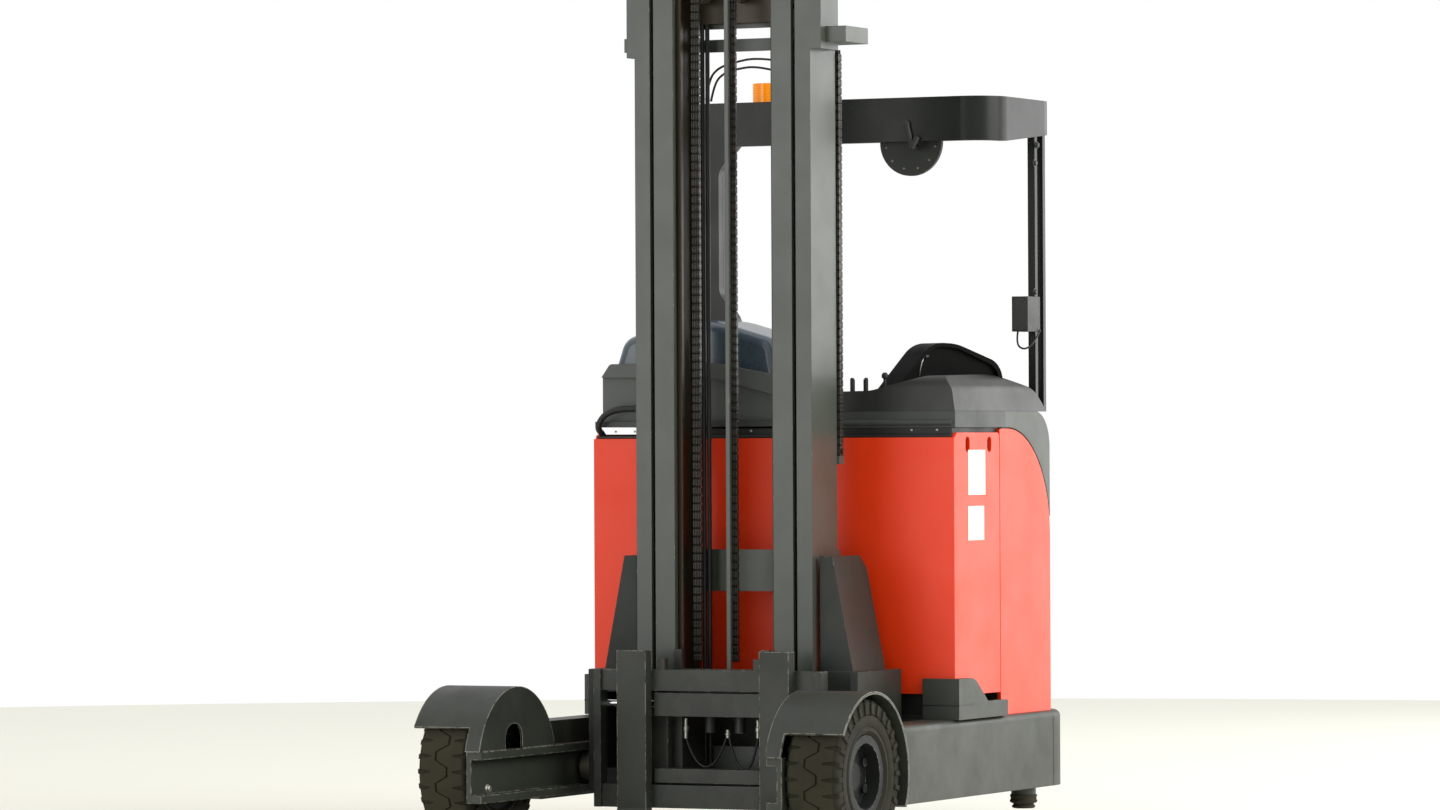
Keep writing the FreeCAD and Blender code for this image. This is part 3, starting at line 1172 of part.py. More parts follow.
def inner_mast():
    """Inner rails, cross bars, guide bar, chains over pulleys and a pair of hoses."""
    low = S.mast_low + 12
    high = TOP - 16
    rail = channel("inner_rail", INNER_FACE, INNER_REAR, INNER_OUT, INNER_IN, S.inner_wall, S.rail_web,
                   (low, high))
    bars = []
    heel = low + S.guide_low
    bars.append(block("guide_bracket", (INNER_REAR, INNER_REAR + S.inner_wall), (0, INNER_IN),
                      (heel - 10, heel + 50)))
    for number, (start, height) in enumerate(((TOP - 210, 190), (low + 8, 60))):
        bars.append(block(f"inner_tie{number}", (INNER_REAR, INNER_REAR + S.inner_wall),
                          (-INNER_IN, INNER_IN), (start, start + height)))
    head_rear = INNER_REAR + S.inner_wall
    for number, y in enumerate((-S.chain_side, S.chain_centre)):
        bars.append(block(f"pulley_arm{number}", (head_rear - 2, PULLEY_X + 14), (y - 20, y - 12),
                          (TOP - 150, TOP - 90)))
    node(fuse("inner_frame", rail, mirrored(rail), *bars), "inner_mast")
    level = low + MAST_ROLLER + 40
    inside = INNER_OUT + 1.5
    roller = bar("inner_roller", "Y", MAST_ROLLER, (inside, MIDDLE_WEB - 1.5), (MAST_MIDDLE, level))
    axle = bar("inner_axle", "Y", S.mast_axle, (INNER_OUT, inside), (MAST_MIDDLE, level))
    wheels = [fuse("inner_roller_set", roller, axle)]
    wheels.append(mirrored(wheels[0]))
    for number, y in enumerate((-S.chain_side, S.chain_centre)):
        hub = (PULLEY_X, TOP - 110)
        sheave = bar(f"pulley{number}", "Y", S.pulley_radius - S.roller_play, (y - 11, y + 11), hub)
        pin = bar(f"pulley_pin{number}", "Y", 10, (y - 12, y - 11), hub)
        wheels.append(fuse(f"pulley_set{number}", sheave, pin))
    node(group("inner_wheels_all", *wheels), "inner_rollers")


def chains_and_hoses():
    """Lift chains over pulleys on the inner mast, guide bar, hoses and the hanging chain loop."""
    low = S.mast_low + 12
    chain_front = INNER_FACE + S.chain_forward
    chain_back = chain_front - S.chain_depth
    level = TOP - 110
    chains = []
    for number, y in enumerate((-S.chain_side, S.chain_centre)):
        sides = (y - S.chain_width / 2, y + S.chain_width / 2)
        chains.append(block(f"chain{number}", (chain_back, chain_front), sides, (S.chain_end, level)))
    node(group("chains", *chains), "lift_chains")
    rear = INNER_REAR + S.inner_wall
    bar_x = chain_front + S.guide_gap
    sides = (S.guide_side, S.guide_side + S.guide_width)
    strip = block("guide_strip", (bar_x, bar_x + 12), sides, (low + S.guide_low, TOP - 40))
    tie_high = block("guide_head", (rear, bar_x), sides, (TOP - 60, TOP - 40))
    tie_low = block("guide_heel", (rear, bar_x), sides, (low + S.guide_low, low + S.guide_low + 40))
    node(fuse("guide", strip, tie_high, tie_low), "guide_bar")
    hoses = []
    for number in range(HOSES):
        y = -S.hose_side + S.hose_pitch * number
        hoses.append(bar(f"hose{number}", "Z", S.hose_radius, (low + 88, TOP - 210),
                         (INNER_REAR + S.hose_radius, y)))
    node(group("hoses", *hoses), "mast_hoses")
    x = MAST_REAR - S.rear_chain_gap
    strand = block("rear_chain", (x - S.rear_chain_thick, x), REAR_CHAIN_Y,
                   (S.rear_chain_low, S.shoulder_low + 12))
    node(pair("rear_chains_pair", strand), "rear_chains")


# ---------------------------------------------------------------- fork carriage


def fork_carriage():
    """Side arms with rollers in the inner rails, front bars and uprights, and tilt cylinders."""
    arm_out = INNER_IN - 6
    arm_in = arm_out - S.side_arm
    arm_low = S.fork_carriage_low + 35
    arm = block("arm", (MAST_MIDDLE - 46, FACE_FRONT), (arm_in, arm_out), (arm_low, S.fork_carriage_top - 19))
    upright = block("face_upright", (FACE_BACK, FACE_FRONT), (INNER_IN - 18, INNER_IN + 9),
                    (arm_low, S.fork_top))
    ear = block("hinge_lug", (FACE_FRONT, HINGE_X + 18), (arm_in + 5, arm_in + 5 + S.side_arm),
                (S.hinge_high - 18, S.hinge_high + 16))
    half = fuse("carriage_arm", arm, upright, ear)
    upper = block("upper_face", (FACE_BACK, FACE_FRONT), (-S.face_half, S.face_half),
                  (S.fork_carriage_top - 60, S.fork_carriage_top))
    lower = block("lower_face", (FACE_BACK, FACE_FRONT), (-S.face_half, S.face_half),
                  (arm_low, arm_low + 50))
    body = fuse("carriage_faces", half, mirrored(half), upper, lower)
    bore = bar("hinge_bore", "Y", S.hinge_pin + S.running_gap, (-arm_out - 20, arm_out + 20),
               (HINGE_X, S.hinge_high))
    node(cut("carriage_bored", body, bore), "fork_carriage")
    rollers = []
    for number, level in enumerate((arm_low + INNER_ROLLER + 6, S.fork_carriage_top - 90)):
        rollers.append(bar(f"inner_wheel{number}", "Y", INNER_ROLLER,
                           (arm_out, INNER_OUT - S.rail_web - 4), (MAST_MIDDLE, level)))
    node(pair("inner_wheels", group("inner_wheels_left", *rollers)), "carriage_rollers")
    pin = bar("hinge_shaft", "Y", S.hinge_pin, (arm_in - 5, arm_out + S.side_arm + 10),
              (HINGE_X, S.hinge_high))
    rams = []
    for number, y in enumerate((-S.ram_side, S.ram_side)):
        rams.append(bar(f"ram{number}", "Z", S.ram_radius, (S.ram_low, S.fork_carriage_top - 60),
                        (FACE_FRONT - S.ram_radius - 8, y)))
    node(group("tilt_parts", pin, mirrored(pin), *rams), "tilt_rams")


def tilt_frame():
    """Tilting frame hung on the hinge: ears, uprights, slide block and lower bar."""
    arm_out = INNER_IN - 6
    ear_in = arm_out + 8
    ear = block("tilt_ear", (HINGE_X - 18, HINGE_X + 18), (ear_in, ear_in + S.side_arm),
                (S.hinge_high - 50, S.hinge_high + 15))
    upright = block("tilt_upright", (TILT_BACK, TILT_FRONT), (S.slide_half - 25, S.fork_offset + 20),
                    (S.fork_carriage_low + 5, S.hinge_high - 30))
    half = fuse("tilt_half", ear, upright)
    head = block("tilt_head", (TILT_BACK, TILT_FRONT), (-S.fork_offset - 20, S.fork_offset + 20),
                 (S.hinge_high - 60, S.hinge_high - 30))
    block_high = S.fork_carriage_top - S.top_bar - S.bar_joint
    slide = block("slide_block", (TILT_BACK, FORK_BACK - 5), (-S.slide_half, S.slide_half),
                  (block_high - S.slide_block, block_high))
    rest_high = S.fork_carriage_low + S.low_bar + S.bar_joint + S.rest_bar
    rest = block("rest_bar", (TILT_BACK, FORK_BACK - 5), (-S.slide_half, S.slide_half),
                 (rest_high - S.rest_bar, rest_high))
    body = fuse("tilt_body", half, mirrored(half), head, slide, rest)
    rod_place = (FORK_BACK - S.frame_bar, block_high - S.slide_block / 2)
    bores = [
        bar("pin_bore", "Y", S.hinge_pin + S.running_gap, (-S.fork_offset, S.fork_offset),
            (HINGE_X, S.hinge_high)),
        bar("rod_bore", "Y", S.guide_rod + S.running_gap, (-S.slide_half - 5, S.slide_half + 5), rod_place),
    ]
    node(cut("tilt_bored", body, *bores), "tilt_frame")


def side_shift():
    """Side shift frame with its rod, and the two forks hung on its bars."""
    back = FORK_BACK - S.frame_bar
    top = S.fork_carriage_top
    low = S.fork_carriage_low
    half = S.fork_carriage_half
    inner = half - S.end_plate
    end_x = (back - 1, FORK_BACK + 10)
    end = block("end_plate", end_x, (inner, half), (low, top))
    upper = block("top_bar", (back, FORK_BACK), (-half, half), (top - S.top_bar, top))
    lower = block("low_bar", (back, FORK_BACK), (-half, half), (low, low + S.low_bar))
    stops = []
    for number, y in enumerate((-S.stop_side, S.stop_side)):
        stops.append(block(f"stop{number}", (back + 6, FORK_BACK - 6), (y - 11, y + 11), (top, top + 34)))
    node(fuse("shift_frame", end, mirrored(end), upper, lower, *stops), "side_shift_frame")
    level = top - S.top_bar - S.bar_joint - S.slide_block / 2
    node(bar("shift_shaft", "Y", S.guide_rod, (-inner, inner), (back, level)), "side_shift_rod")
    tip = FORK_BACK + S.fork_thick + S.fork_length
    heel = FORK_BACK + S.fork_thick
    blade_top = S.fork_low + S.fork_thick
    outline = [
        (FORK_BACK, S.fork_top), (heel, S.fork_top), (heel, blade_top, 12),
        (tip, blade_top), (tip, blade_top - S.fork_tip), (tip - S.fork_taper, S.fork_low),
        (FORK_BACK, S.fork_low, 40),
    ]
    side = (S.fork_offset - S.fork_width / 2, S.fork_offset + S.fork_width / 2)
    arm = plate("fork_side", "XZ", outline, side)
    nose = plate("fork_plan", "XY", [
        (FORK_BACK - 5, side[0]), (FORK_BACK - 5, side[1]), (tip - 90, side[1], 40),
        (tip, side[1] - 28, 18), (tip, side[0] + 28, 18), (tip - 90, side[0], 40),
    ], (S.fork_low - 5, S.fork_top + 5))
    node(pair("fork_pair", common("fork", arm, nose)), "forks")


# ---------------------------------------------------------------- build

chassis_frame()
legs()
fenders()
for side, word in ((1, "left"), (-1, "right")):
    load_wheel(side, word)
drive_unit()
cab_floor()
reach_cylinder()
battery_bay()
cab_walls()
console()
seat()
overhead_guard()
roof_fittings()
reach_frame()
outer_mast()
middle_mast()
inner_mast()
chains_and_hoses()
fork_carriage()
tilt_frame()
side_shift()

doc.recompute()
for item in doc.Objects:
    if "Invalid" in item.State or "Error" in item.State:
        raise RuntimeError(f"{item.Name} did not build: {item.State}")
os.makedirs("parts", exist_ok=True)
for name, piece in NODES:
    shape = piece.Shape
    if shape.isNull() or not shape.isValid():
        raise RuntimeError(f"{name} has no valid shape")
    shape.exportStep(f"parts/{name}.step")
print(f"{len(NODES)} sub-parts written")
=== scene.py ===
import math

import bmesh
import bpy
from bpy.props import FloatProperty, FloatVectorProperty, IntProperty, PointerProperty
from bpy.types import Operator, Panel, PropertyGroup
from mathutils import Matrix, Vector


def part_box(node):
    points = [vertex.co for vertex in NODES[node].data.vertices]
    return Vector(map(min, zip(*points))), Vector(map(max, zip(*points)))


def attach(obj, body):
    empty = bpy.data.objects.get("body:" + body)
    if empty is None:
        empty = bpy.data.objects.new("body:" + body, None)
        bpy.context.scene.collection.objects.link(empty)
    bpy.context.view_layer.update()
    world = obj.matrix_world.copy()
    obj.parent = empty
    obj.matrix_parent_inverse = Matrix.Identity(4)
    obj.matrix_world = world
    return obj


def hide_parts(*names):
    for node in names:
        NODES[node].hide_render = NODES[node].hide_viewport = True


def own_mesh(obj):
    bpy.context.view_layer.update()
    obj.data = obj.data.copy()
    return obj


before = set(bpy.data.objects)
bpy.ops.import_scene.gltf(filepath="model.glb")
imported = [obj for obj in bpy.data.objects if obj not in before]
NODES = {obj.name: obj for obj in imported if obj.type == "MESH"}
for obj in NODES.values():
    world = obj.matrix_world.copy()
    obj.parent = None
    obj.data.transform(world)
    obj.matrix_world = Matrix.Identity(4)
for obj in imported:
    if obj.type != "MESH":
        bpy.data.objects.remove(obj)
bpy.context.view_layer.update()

bl_info = {
    "name": "Reach Truck",
    "version": (1, 0, 0),
    "blender": (4, 5, 0),
    "location": "3D View > Sidebar > Reach Truck",
    "description": "Dresses a reach truck's frame with its finishes, treads, chains, cushions and fittings",
    "category": "Add Mesh",
}


# ---------------------------------------------------------------- sizes and colours


def linear(red, green, blue):
    """A display colour, each channel 0 to 255, as the scene's linear colour."""
    def channel(value):
        value = value / 255
        return value / 12.92 if value <= 0.04045 else ((value + 0.055) / 1.055) ** 2.4
    return (channel(red), channel(green), channel(blue), 1.0)


def colour(name, description, *display):
    """A colour setting whose default is given as a display colour."""
    return FloatVectorProperty(name=name, description=description, subtype="COLOR", size=4,
                               min=0.0, max=1.0, default=linear(*display))


def length(name, description, default):
    """A length setting, in metres."""
    return FloatProperty(name=name, description=description, default=default, unit="LENGTH",
                         subtype="DISTANCE", min=0.0)


class TruckColours(PropertyGroup):
    """The truck's paints, mouldings and bare metals"""
    red: colour("Red paint", "Gloss paint of the side and front panels", 240, 58, 10)
    chassis: colour("Chassis grey", "Paint of the chassis, legs and fenders", 46, 50, 41)
    # The reach frame takes this grey darkened to about a third, as painted shade.
    mast: colour("Mast grey", "Paint of the mast rails and reach frame", 70, 75, 67)
    carriage: colour("Carriage grey", "Paint of the fork carriage and forks", 46, 49, 41)
    guard: colour("Guard black", "Paint of the overhead guard", 24, 27, 23)
    hood: colour("Hood grey", "Mouldings round the panels and seat hood", 84, 88, 84)
    dark: colour("Dark moulding", "Grained console and hood mouldings", 36, 36, 34)
    shell: colour("Seat shell blue", "Glossy seat shell", 60, 74, 84)
    tyre: colour("Tyre", "Worn tread of the load wheels", 52, 50, 38)
    rim: colour("Rim", "Wheel rims", 26, 29, 27)
    steel: colour("Bare steel", "Worn edges and rollers", 150, 146, 134)
    grease: colour("Greased steel", "Inner rails and chains", 54, 45, 31)
    amber: colour("Amber", "Beacon lens", 250, 150, 14)
    cloth: colour("Seat cloth", "Woven seat cover", 36, 38, 44)
    tread: colour("Drive tread", "Polyurethane of the drive wheel", 96, 78, 52)
    floor: colour("Floor", "Pale floor", 230, 229, 218)


class TruckSizes(PropertyGroup):
    """Sizes of the tread, chains, fasteners and worn edges"""
    tread_depth: length("Tread depth", "Depth of the load tyres' grooves", 0.007)
    tread_groove: length("Groove width", "Width of the load tyres' zigzag groove", 0.00603)
    tread_slot: length("Slot width", "Width of the shoulder slots at their inner end", 0.0046)
    tread_notch: length("Notch width", "Width of the shoulder slots at the tyre's edge", 0.016)
    tread_pitches: IntProperty(name="Tread pitches", description="Tread blocks round a load tyre",
                               default=30, min=6)
    chain_pitch: length("Chain pitch", "Pin to pin length of the lift chains", 0.0127)
    bolt: length("Bolt radius", "Radius of the larger bolt heads", 0.011)
    screw: length("Screw radius", "Radius of the small screw heads", 0.005)
    edge: length("Edge rounding", "Rounding that catches the light along edges", 0.0025)


def colours():
    return bpy.context.scene.truck_colours


def sizes():
    return bpy.context.scene.truck_sizes


# ---------------------------------------------------------------- finishes


class Tree:
    """Adds nodes to a material and links them."""

    def __init__(self, material):
        material.use_nodes = True
        self.nodes = material.node_tree.nodes
        self.links = material.node_tree.links
        self.shader = self.nodes["Principled BSDF"]

    def add(self, kind, **values):
        """A new node with its properties set."""
        node = self.nodes.new(kind)
        for key, value in values.items():
            setattr(node, key, value)
        return node

    def put(self, source, target):
        self.links.new(source, target)

    def noise(self, scale, detail=3.0, rough=0.55, stretch=None):
        """Noise fixed to the object, which a stretch above 1 makes finer along that axis."""
        place = self.add("ShaderNodeTexCoord")
        mapping = self.add("ShaderNodeMapping")
        mapping.inputs["Scale"].default_value = stretch or (1, 1, 1)
        self.put(place.outputs["Object"], mapping.inputs["Vector"])
        texture = self.add("ShaderNodeTexNoise")
        texture.inputs["Scale"].default_value = scale
        texture.inputs["Detail"].default_value = detail
        texture.inputs["Roughness"].default_value = rough
        self.put(mapping.outputs["Vector"], texture.inputs["Vector"])
        return texture.outputs["Fac"]

    def ramp(self, source, low, high, first=0.0, last=1.0):
        """The source's stretch from low to high mapped to first to last, and clamped."""
        node = self.add("ShaderNodeMapRange")
        for name, value in (("From Min", low), ("From Max", high), ("To Min", first), ("To Max", last)):
            node.inputs[name].default_value = value
        self.put(source, node.inputs["Value"])
        return node.outputs["Result"]

    def maths(self, operation, first, second):
        """One sum on two values, each a number or a socket."""
        node = self.add("ShaderNodeMath", operation=operation)
        for socket, value in zip(node.inputs, (first, second)):
            if isinstance(value, (int, float)):
                socket.default_value = value
            else:
                self.put(value, socket)
        return node.outputs[0]

    def blend(self, factor, first, second):
        """From the first colour to the second by the factor; each is a colour or a socket."""
        node = self.add("ShaderNodeMix", data_type="RGBA")
        self.put(factor, node.inputs["Factor"])
        for socket, value in ((node.inputs[6], first), (node.inputs[7], second)):
            if isinstance(value, tuple):
                socket.default_value = value
            else:
                self.put(value, socket)
        return node.outputs[2]

    def edges(self, radius):
        """A normal rounded over the edges, and a mask that is 1 on them."""
        bevel = self.add("ShaderNodeBevel", samples=6)
        bevel.inputs["Radius"].default_value = radius
        geometry = self.add("ShaderNodeNewGeometry")
        dot = self.add("ShaderNodeVectorMath", operation="DOT_PRODUCT")
        self.put(bevel.outputs["Normal"], dot.inputs[0])
        self.put(geometry.outputs["Normal"], dot.inputs[1])
        mask = self.ramp(dot.outputs["Value"], 0.995, 0.85)
        return bevel.outputs["Normal"], mask


def shade(base, factor):
    """A colour made darker or lighter by a factor."""
    return tuple(min(1.0, value * factor) for value in base[:3]) + (1.0,)


def paint(name, base, roughness=0.42, vary=0.10, grain=0.0, peel=0.02, coat=0.0, metallic=0.0,
          wear=None, wear_reach=0.004, wear_share=0.5, scratches=0.0, stretch=None, stain=0.0, shine=0.5):
    """A painted, moulded or bare finish with cloudy colour, fine bump and worn edges."""
    base = tuple(base)
    material = bpy.data.materials.new(name)
    tree = Tree(material)
    shader = tree.shader
    cloud = tree.ramp(tree.noise(2.3, 5.0, 0.6, stretch), 0.3, 0.7)
    skin = tree.blend(cloud, shade(base, 1 - vary), shade(base, 1 + vary))
    normal, mask = tree.edges(sizes().edge)
    if wear:
        wide = tree.edges(wear_reach)[1] if wear_reach > sizes().edge * 1.2 else mask
        patch = tree.ramp(tree.noise(38, 6.0, 0.7), 0.62 - wear_share * 0.3, 0.70 - wear_share * 0.3)
        skin = tree.blend(tree.maths("MULTIPLY", wide, patch), skin, tuple(wear))
    if scratches:
        lines = tree.noise(16, 8.0, 0.75, (1, 1, 14))
        skin = tree.blend(tree.ramp(lines, 0.60, 0.68, 0.0, scratches), skin, shade(base, 1.6))
    if stain:
        spots = tree.ramp(tree.noise(6, 7.0, 0.62), 0.50, 0.58, 0.0, stain)
        skin = tree.blend(spots, skin, shade(base, 0.45))
    tree.put(skin, shader.inputs["Base Color"])
    smear = tree.ramp(tree.noise(7, 4.0, 0.6), 0.3, 0.7, roughness * 0.85, min(1.0, roughness * 1.2))
    tree.put(smear, shader.inputs["Roughness"])
    shader.inputs["Metallic"].default_value = metallic
    shader.inputs["Coat Weight"].default_value = coat
    shader.inputs["Specular IOR Level"].default_value = shine
    shader.inputs["Coat Roughness"].default_value = 0.12
    bump = tree.add("ShaderNodeBump")
    bump.inputs["Strength"].default_value = min(1.0, peel + grain)
    bump.inputs["Distance"].default_value = 0.0006 if grain else 0.0003
    scale = 900 if grain else 260
    tree.put(tree.noise(scale, 2.0), bump.inputs["Height"])
    tree.put(normal, bump.inputs["Normal"])
    tree.put(bump.outputs["Normal"], shader.inputs["Normal"])
    return material


def woven(name, base):
    """Woven cloth: two crossed thread waves, with sheen and a slow colour drift."""
    base = tuple(base)
    material = bpy.data.materials.new(name)
    tree = Tree(material)
    waves = []
    for direction in ("X", "Z"):
        place = tree.add("ShaderNodeTexCoord")
        wave = tree.add("ShaderNodeTexWave", bands_direction=direction)
        wave.inputs["Scale"].default_value = 210
        wave.inputs["Distortion"].default_value = 1.2
        tree.put(place.outputs["Object"], wave.inputs["Vector"])
        waves.append(wave.outputs["Fac"])
    weave = tree.maths("MULTIPLY", *waves)
    drift = tree.ramp(tree.noise(9, 3.0), 0.3, 0.7)
    skin = tree.blend(weave, shade(base, 0.7), shade(base, 1.5))
    skin = tree.blend(tree.maths("MULTIPLY", drift, 0.35), skin, shade(base, 1.9))
    tree.put(skin, tree.shader.inputs["Base Color"])
    tree.shader.inputs["Roughness"].default_value = 0.9
    tree.shader.inputs["Sheen Weight"].default_value = 0.3
    bump = tree.add("ShaderNodeBump")
    bump.inputs["Strength"].default_value = 0.35
    bump.inputs["Distance"].default_value = 0.0008
    tree.put(weave, bump.inputs["Height"])
    tree.put(bump.outputs["Normal"], tree.shader.inputs["Normal"])
    return material


def lens(name, base):
    """A ribbed lamp lens with a faint glow."""
    material = bpy.data.materials.new(name)
    tree = Tree(material)
    ribs = tree.add("ShaderNodeTexWave", bands_direction="Z")
    place = tree.add("ShaderNodeTexCoord")
    ribs.inputs["Scale"].default_value = 60
    tree.put(place.outputs["Object"], ribs.inputs["Vector"])
    skin = tree.blend(tree.ramp(ribs.outputs["Fac"], 0.2, 0.8), shade(base, 0.8), shade(base, 1.1))
    tree.put(skin, tree.shader.inputs["Base Color"])
    tree.put(skin, tree.shader.inputs["Emission Color"])
    tree.shader.inputs["Emission Strength"].default_value = 0.25
    tree.shader.inputs["Roughness"].default_value = 0.12
    tree.shader.inputs["Transmission Weight"].default_value = 0.25
    return material


FINISHES = {}


def recipes():
    """What each painted, moulded or bare finish is made of."""
    c = colours()
    steel = tuple(c.steel)
    return {
        "red_paint": dict(base=c.red, roughness=0.36, vary=0.05, shine=0.42, scratches=0.03),
        "chassis_paint": dict(base=c.chassis, roughness=0.46, vary=0.12, peel=0.08, wear=steel,
                              wear_share=0.2, scratches=0.20, stretch=(0.25, 1, 4), stain=0.2),
        "worn_paint": dict(base=shade(c.chassis, 0.75), roughness=0.5, vary=0.16, peel=0.12, wear=steel,
                           wear_reach=0.006, wear_share=0.7, scratches=0.16, stain=0.3),
        "leg_paint": dict(base=c.chassis, roughness=0.5, vary=0.16, peel=0.12, wear=steel,
                          wear_reach=0.006, wear_share=0.5, scratches=0.16, stretch=(0.4, 1, 2),
                          stain=0.35),
        "black_paint": dict(base=shade(c.chassis, 0.35), roughness=0.5, vary=0.12, peel=0.08),
        "mast_paint": dict(base=c.mast, roughness=0.36, vary=0.08, peel=0.05, wear=steel, coat=0.15,
                           wear_share=0.1, scratches=0.10, stretch=(1, 1, 0.4), stain=0.12),
        # Painted shade: the mast grey darkened to about a third, so the reach frame's gusset sides look
        # shaded.
        "reach_shaded_paint": dict(base=shade(c.mast, 0.36), roughness=0.5, vary=0.08, shine=0.35, peel=0.08,
                            wear=steel, wear_share=0.1, scratches=0.08, stain=0.2),
        "carriage_paint": dict(base=c.carriage, roughness=0.42, vary=0.14, peel=0.08, wear=steel,
                               wear_share=0.25, scratches=0.12, stain=0.55),
        "fork_paint": dict(base=c.carriage, roughness=0.5, vary=0.16, peel=0.10, wear=steel,
                           wear_reach=0.005, wear_share=0.6, scratches=0.22),
        "guard_paint": dict(base=c.guard, roughness=0.30, vary=0.07, peel=0.05, shine=0.3),
        "cover_paint": dict(base=shade(c.hood, 0.5), roughness=0.5, vary=0.10, peel=0.08, stain=0.2),
        "rim_paint": dict(base=c.rim, roughness=0.55, vary=0.12, peel=0.08, shine=0.3, wear=steel,
                          wear_share=0.3),
        "fitting_paint": dict(base=linear(40, 43, 38), roughness=0.5, vary=0.10, peel=0.06),
        "plate_white": dict(base=linear(228, 226, 216), roughness=0.45, vary=0.03),
        "hood_plastic": dict(base=c.hood, roughness=0.55, vary=0.05, grain=0.22),
        "dark_plastic": dict(base=c.dark, roughness=0.40, vary=0.10, grain=0.3),
        "black_plastic": dict(base=shade(c.dark, 0.5), roughness=0.42, vary=0.08, grain=0.2),
        "visor_plastic": dict(base=shade(c.dark, 0.12), roughness=0.5, vary=0.1, shine=0.06),
        "blue_gloss": dict(base=c.shell, roughness=0.26, vary=0.12, coat=0.5, peel=0.0),
        "tyre_rubber": dict(base=c.tyre, roughness=0.86, vary=0.14, grain=0.4, peel=0.1, shine=0.2,
                            wear=shade(c.tyre, 1.35), wear_share=0.6, stain=0.25),
        "tyre_wall": dict(base=shade(c.tyre, 0.5), roughness=0.7, vary=0.16, grain=0.3, peel=0.1,
                          shine=0.2, wear=c.tyre, wear_share=0.5, stain=0.2),
        "drive_tread": dict(base=c.tread, roughness=0.7, vary=0.12, peel=0.1),
        "hose_rubber": dict(base=linear(24, 24, 23), roughness=0.5, vary=0.12, peel=0.1),
        "bare_steel": dict(base=c.steel, roughness=0.38, vary=0.10, metallic=0.9, scratches=0.2),
        "greased_steel": dict(base=c.grease, roughness=0.36, vary=0.3, metallic=0.35, peel=0.1,
                              stretch=(1, 1, 0.3), wear=linear(92, 72, 50), wear_share=0.4),
        "chain_steel": dict(base=linear(70, 68, 62), roughness=0.34, vary=0.6, metallic=0.6),
        # Near black: painted shade for the gaps between chain plates, given to the inner rows.
        "chain_gap_shade": dict(base=linear(16, 15, 13), roughness=0.5, vary=0.4, shine=0.15),
        "chrome": dict(base=linear(215, 215, 212), roughness=0.12, vary=0.03, metallic=1.0, peel=0.0),
        "zinc": dict(base=linear(196, 196, 186), roughness=0.32, vary=0.08, metallic=0.85),
        "cast_iron": dict(base=linear(60, 62, 62), roughness=0.62, vary=0.12, grain=0.5, peel=0.2),
    }


def finish(name):
    """The named finish, made when it is first asked for."""
    if name not in FINISHES:
        if name == "seat_cloth":
            FINISHES[name] = woven(name, colours().cloth)
        elif name == "amber_lens":
            FINISHES[name] = lens(name, colours().amber)
        else:
            FINISHES[name] = paint(name, **recipes()[name])
    return FINISHES[name]


def dress(node_name, finish_name):
    """Gives a CAD node its finish."""
    node = NODES[node_name]
    node.data.materials.clear()
    node.data.materials.append(finish(finish_name))


# ---------------------------------------------------------------- making pieces


def piece(name, mesh_builder, finish_name, body, smooth=False, replaces=()):
    """A new piece from a mesh that the builder fills, riding on a body."""
    grid = bmesh.new()
    mesh_builder(grid)
    bmesh.ops.recalc_face_normals(grid, faces=grid.faces)
    mesh = bpy.data.meshes.new(name)
    grid.to_mesh(mesh)
    grid.free()
    if smooth:
        mesh.shade_smooth()
        mesh.set_sharp_from_angle(angle=math.radians(38))
    obj = bpy.data.objects.new(name, mesh)
    bpy.context.scene.collection.objects.link(obj)
    mesh.materials.append(finish(finish_name))
    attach(obj, body)
    if replaces:
        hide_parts(*replaces)
    return obj


def add_box(grid, low, high):
    """A square block between two corners."""
    corners = [Vector((x, y, z)) for x in (low[0], high[0]) for y in (low[1], high[1])
               for z in (low[2], high[2])]
    points = [grid.verts.new(corner) for corner in corners]
    for face in ((0, 1, 3, 2), (4, 6, 7, 5), (0, 4, 5, 1), (2, 3, 7, 6), (0, 2, 6, 4), (1, 5, 7, 3)):
        grid.faces.new([points[i] for i in face])


def across(direction):
    """Two unit vectors square to a direction."""
    direction = Vector(direction).normalized()
    helper = Vector((0, 0, 1)) if abs(direction.z) < 0.9 else Vector((1, 0, 0))
    first = direction.cross(helper).normalized()
    return first, direction.cross(first)


def add_rings(grid, start, direction, rings, sides=24):
    """A closed turned piece: rings are (distance along the direction, radius)."""
    start = Vector(start)
    direction = Vector(direction).normalized()
    first, second = across(direction)
    loops = []
    for distance, radius in rings:
        centre = start + direction * distance
        loop = []
        for i in range(sides):
            angle = 2 * math.pi * i / sides
            way = first * math.cos(angle) + second * math.sin(angle)
            loop.append(grid.verts.new(centre + way * radius))
        loops.append(loop)
    for near, far in zip(loops, loops[1:]):
        for i in range(sides):
            j = (i + 1) % sides
            grid.faces.new((near[i], near[j], far[j], far[i]))
    grid.faces.new(loops[0][::-1])
    grid.faces.new(loops[-1])


def add_rod(grid, start, end, radius, sides=20):
    """A round rod with a small chamfer at each end."""
    start, end = Vector(start), Vector(end)
    run = (end - start).length
    edge = min(radius * 0.15, run * 0.2)
    add_rings(grid, start, end - start,
              ((0, radius - edge), (edge, radius), (run - edge, radius), (run, radius - edge)), sides)


def add_bolt(grid, seat, direction, radius):
    """A washer with a hexagon head on it."""
    seat = Vector(seat)
    direction = Vector(direction).normalized()
    washer, thick = radius * 1.35, radius * 0.22
    add_rings(grid, seat, direction, ((0, washer), (thick, washer)), 20)
    head = ((0, radius), (radius * 0.6, radius), (radius * 0.72, radius * 0.86))
    add_rings(grid, seat + direction * thick, direction, head, 6)


def add_screw(grid, seat, direction, radius):
    """A low domed screw head with a socket."""
    dome = ((0, 1), (0.35, 0.95), (0.55, 0.7), (0.58, 0.38), (0.2, 0.32))
    add_rings(grid, seat, direction, [(high * radius, wide * radius) for high, wide in dome], 14)


def add_row(grid, add, first, last, count, direction, radius):
    """The same fastener repeated from the first place to the last."""
    for i in range(count):
        add(grid, Vector(first).lerp(Vector(last), i / max(1, count - 1)), direction, radius)


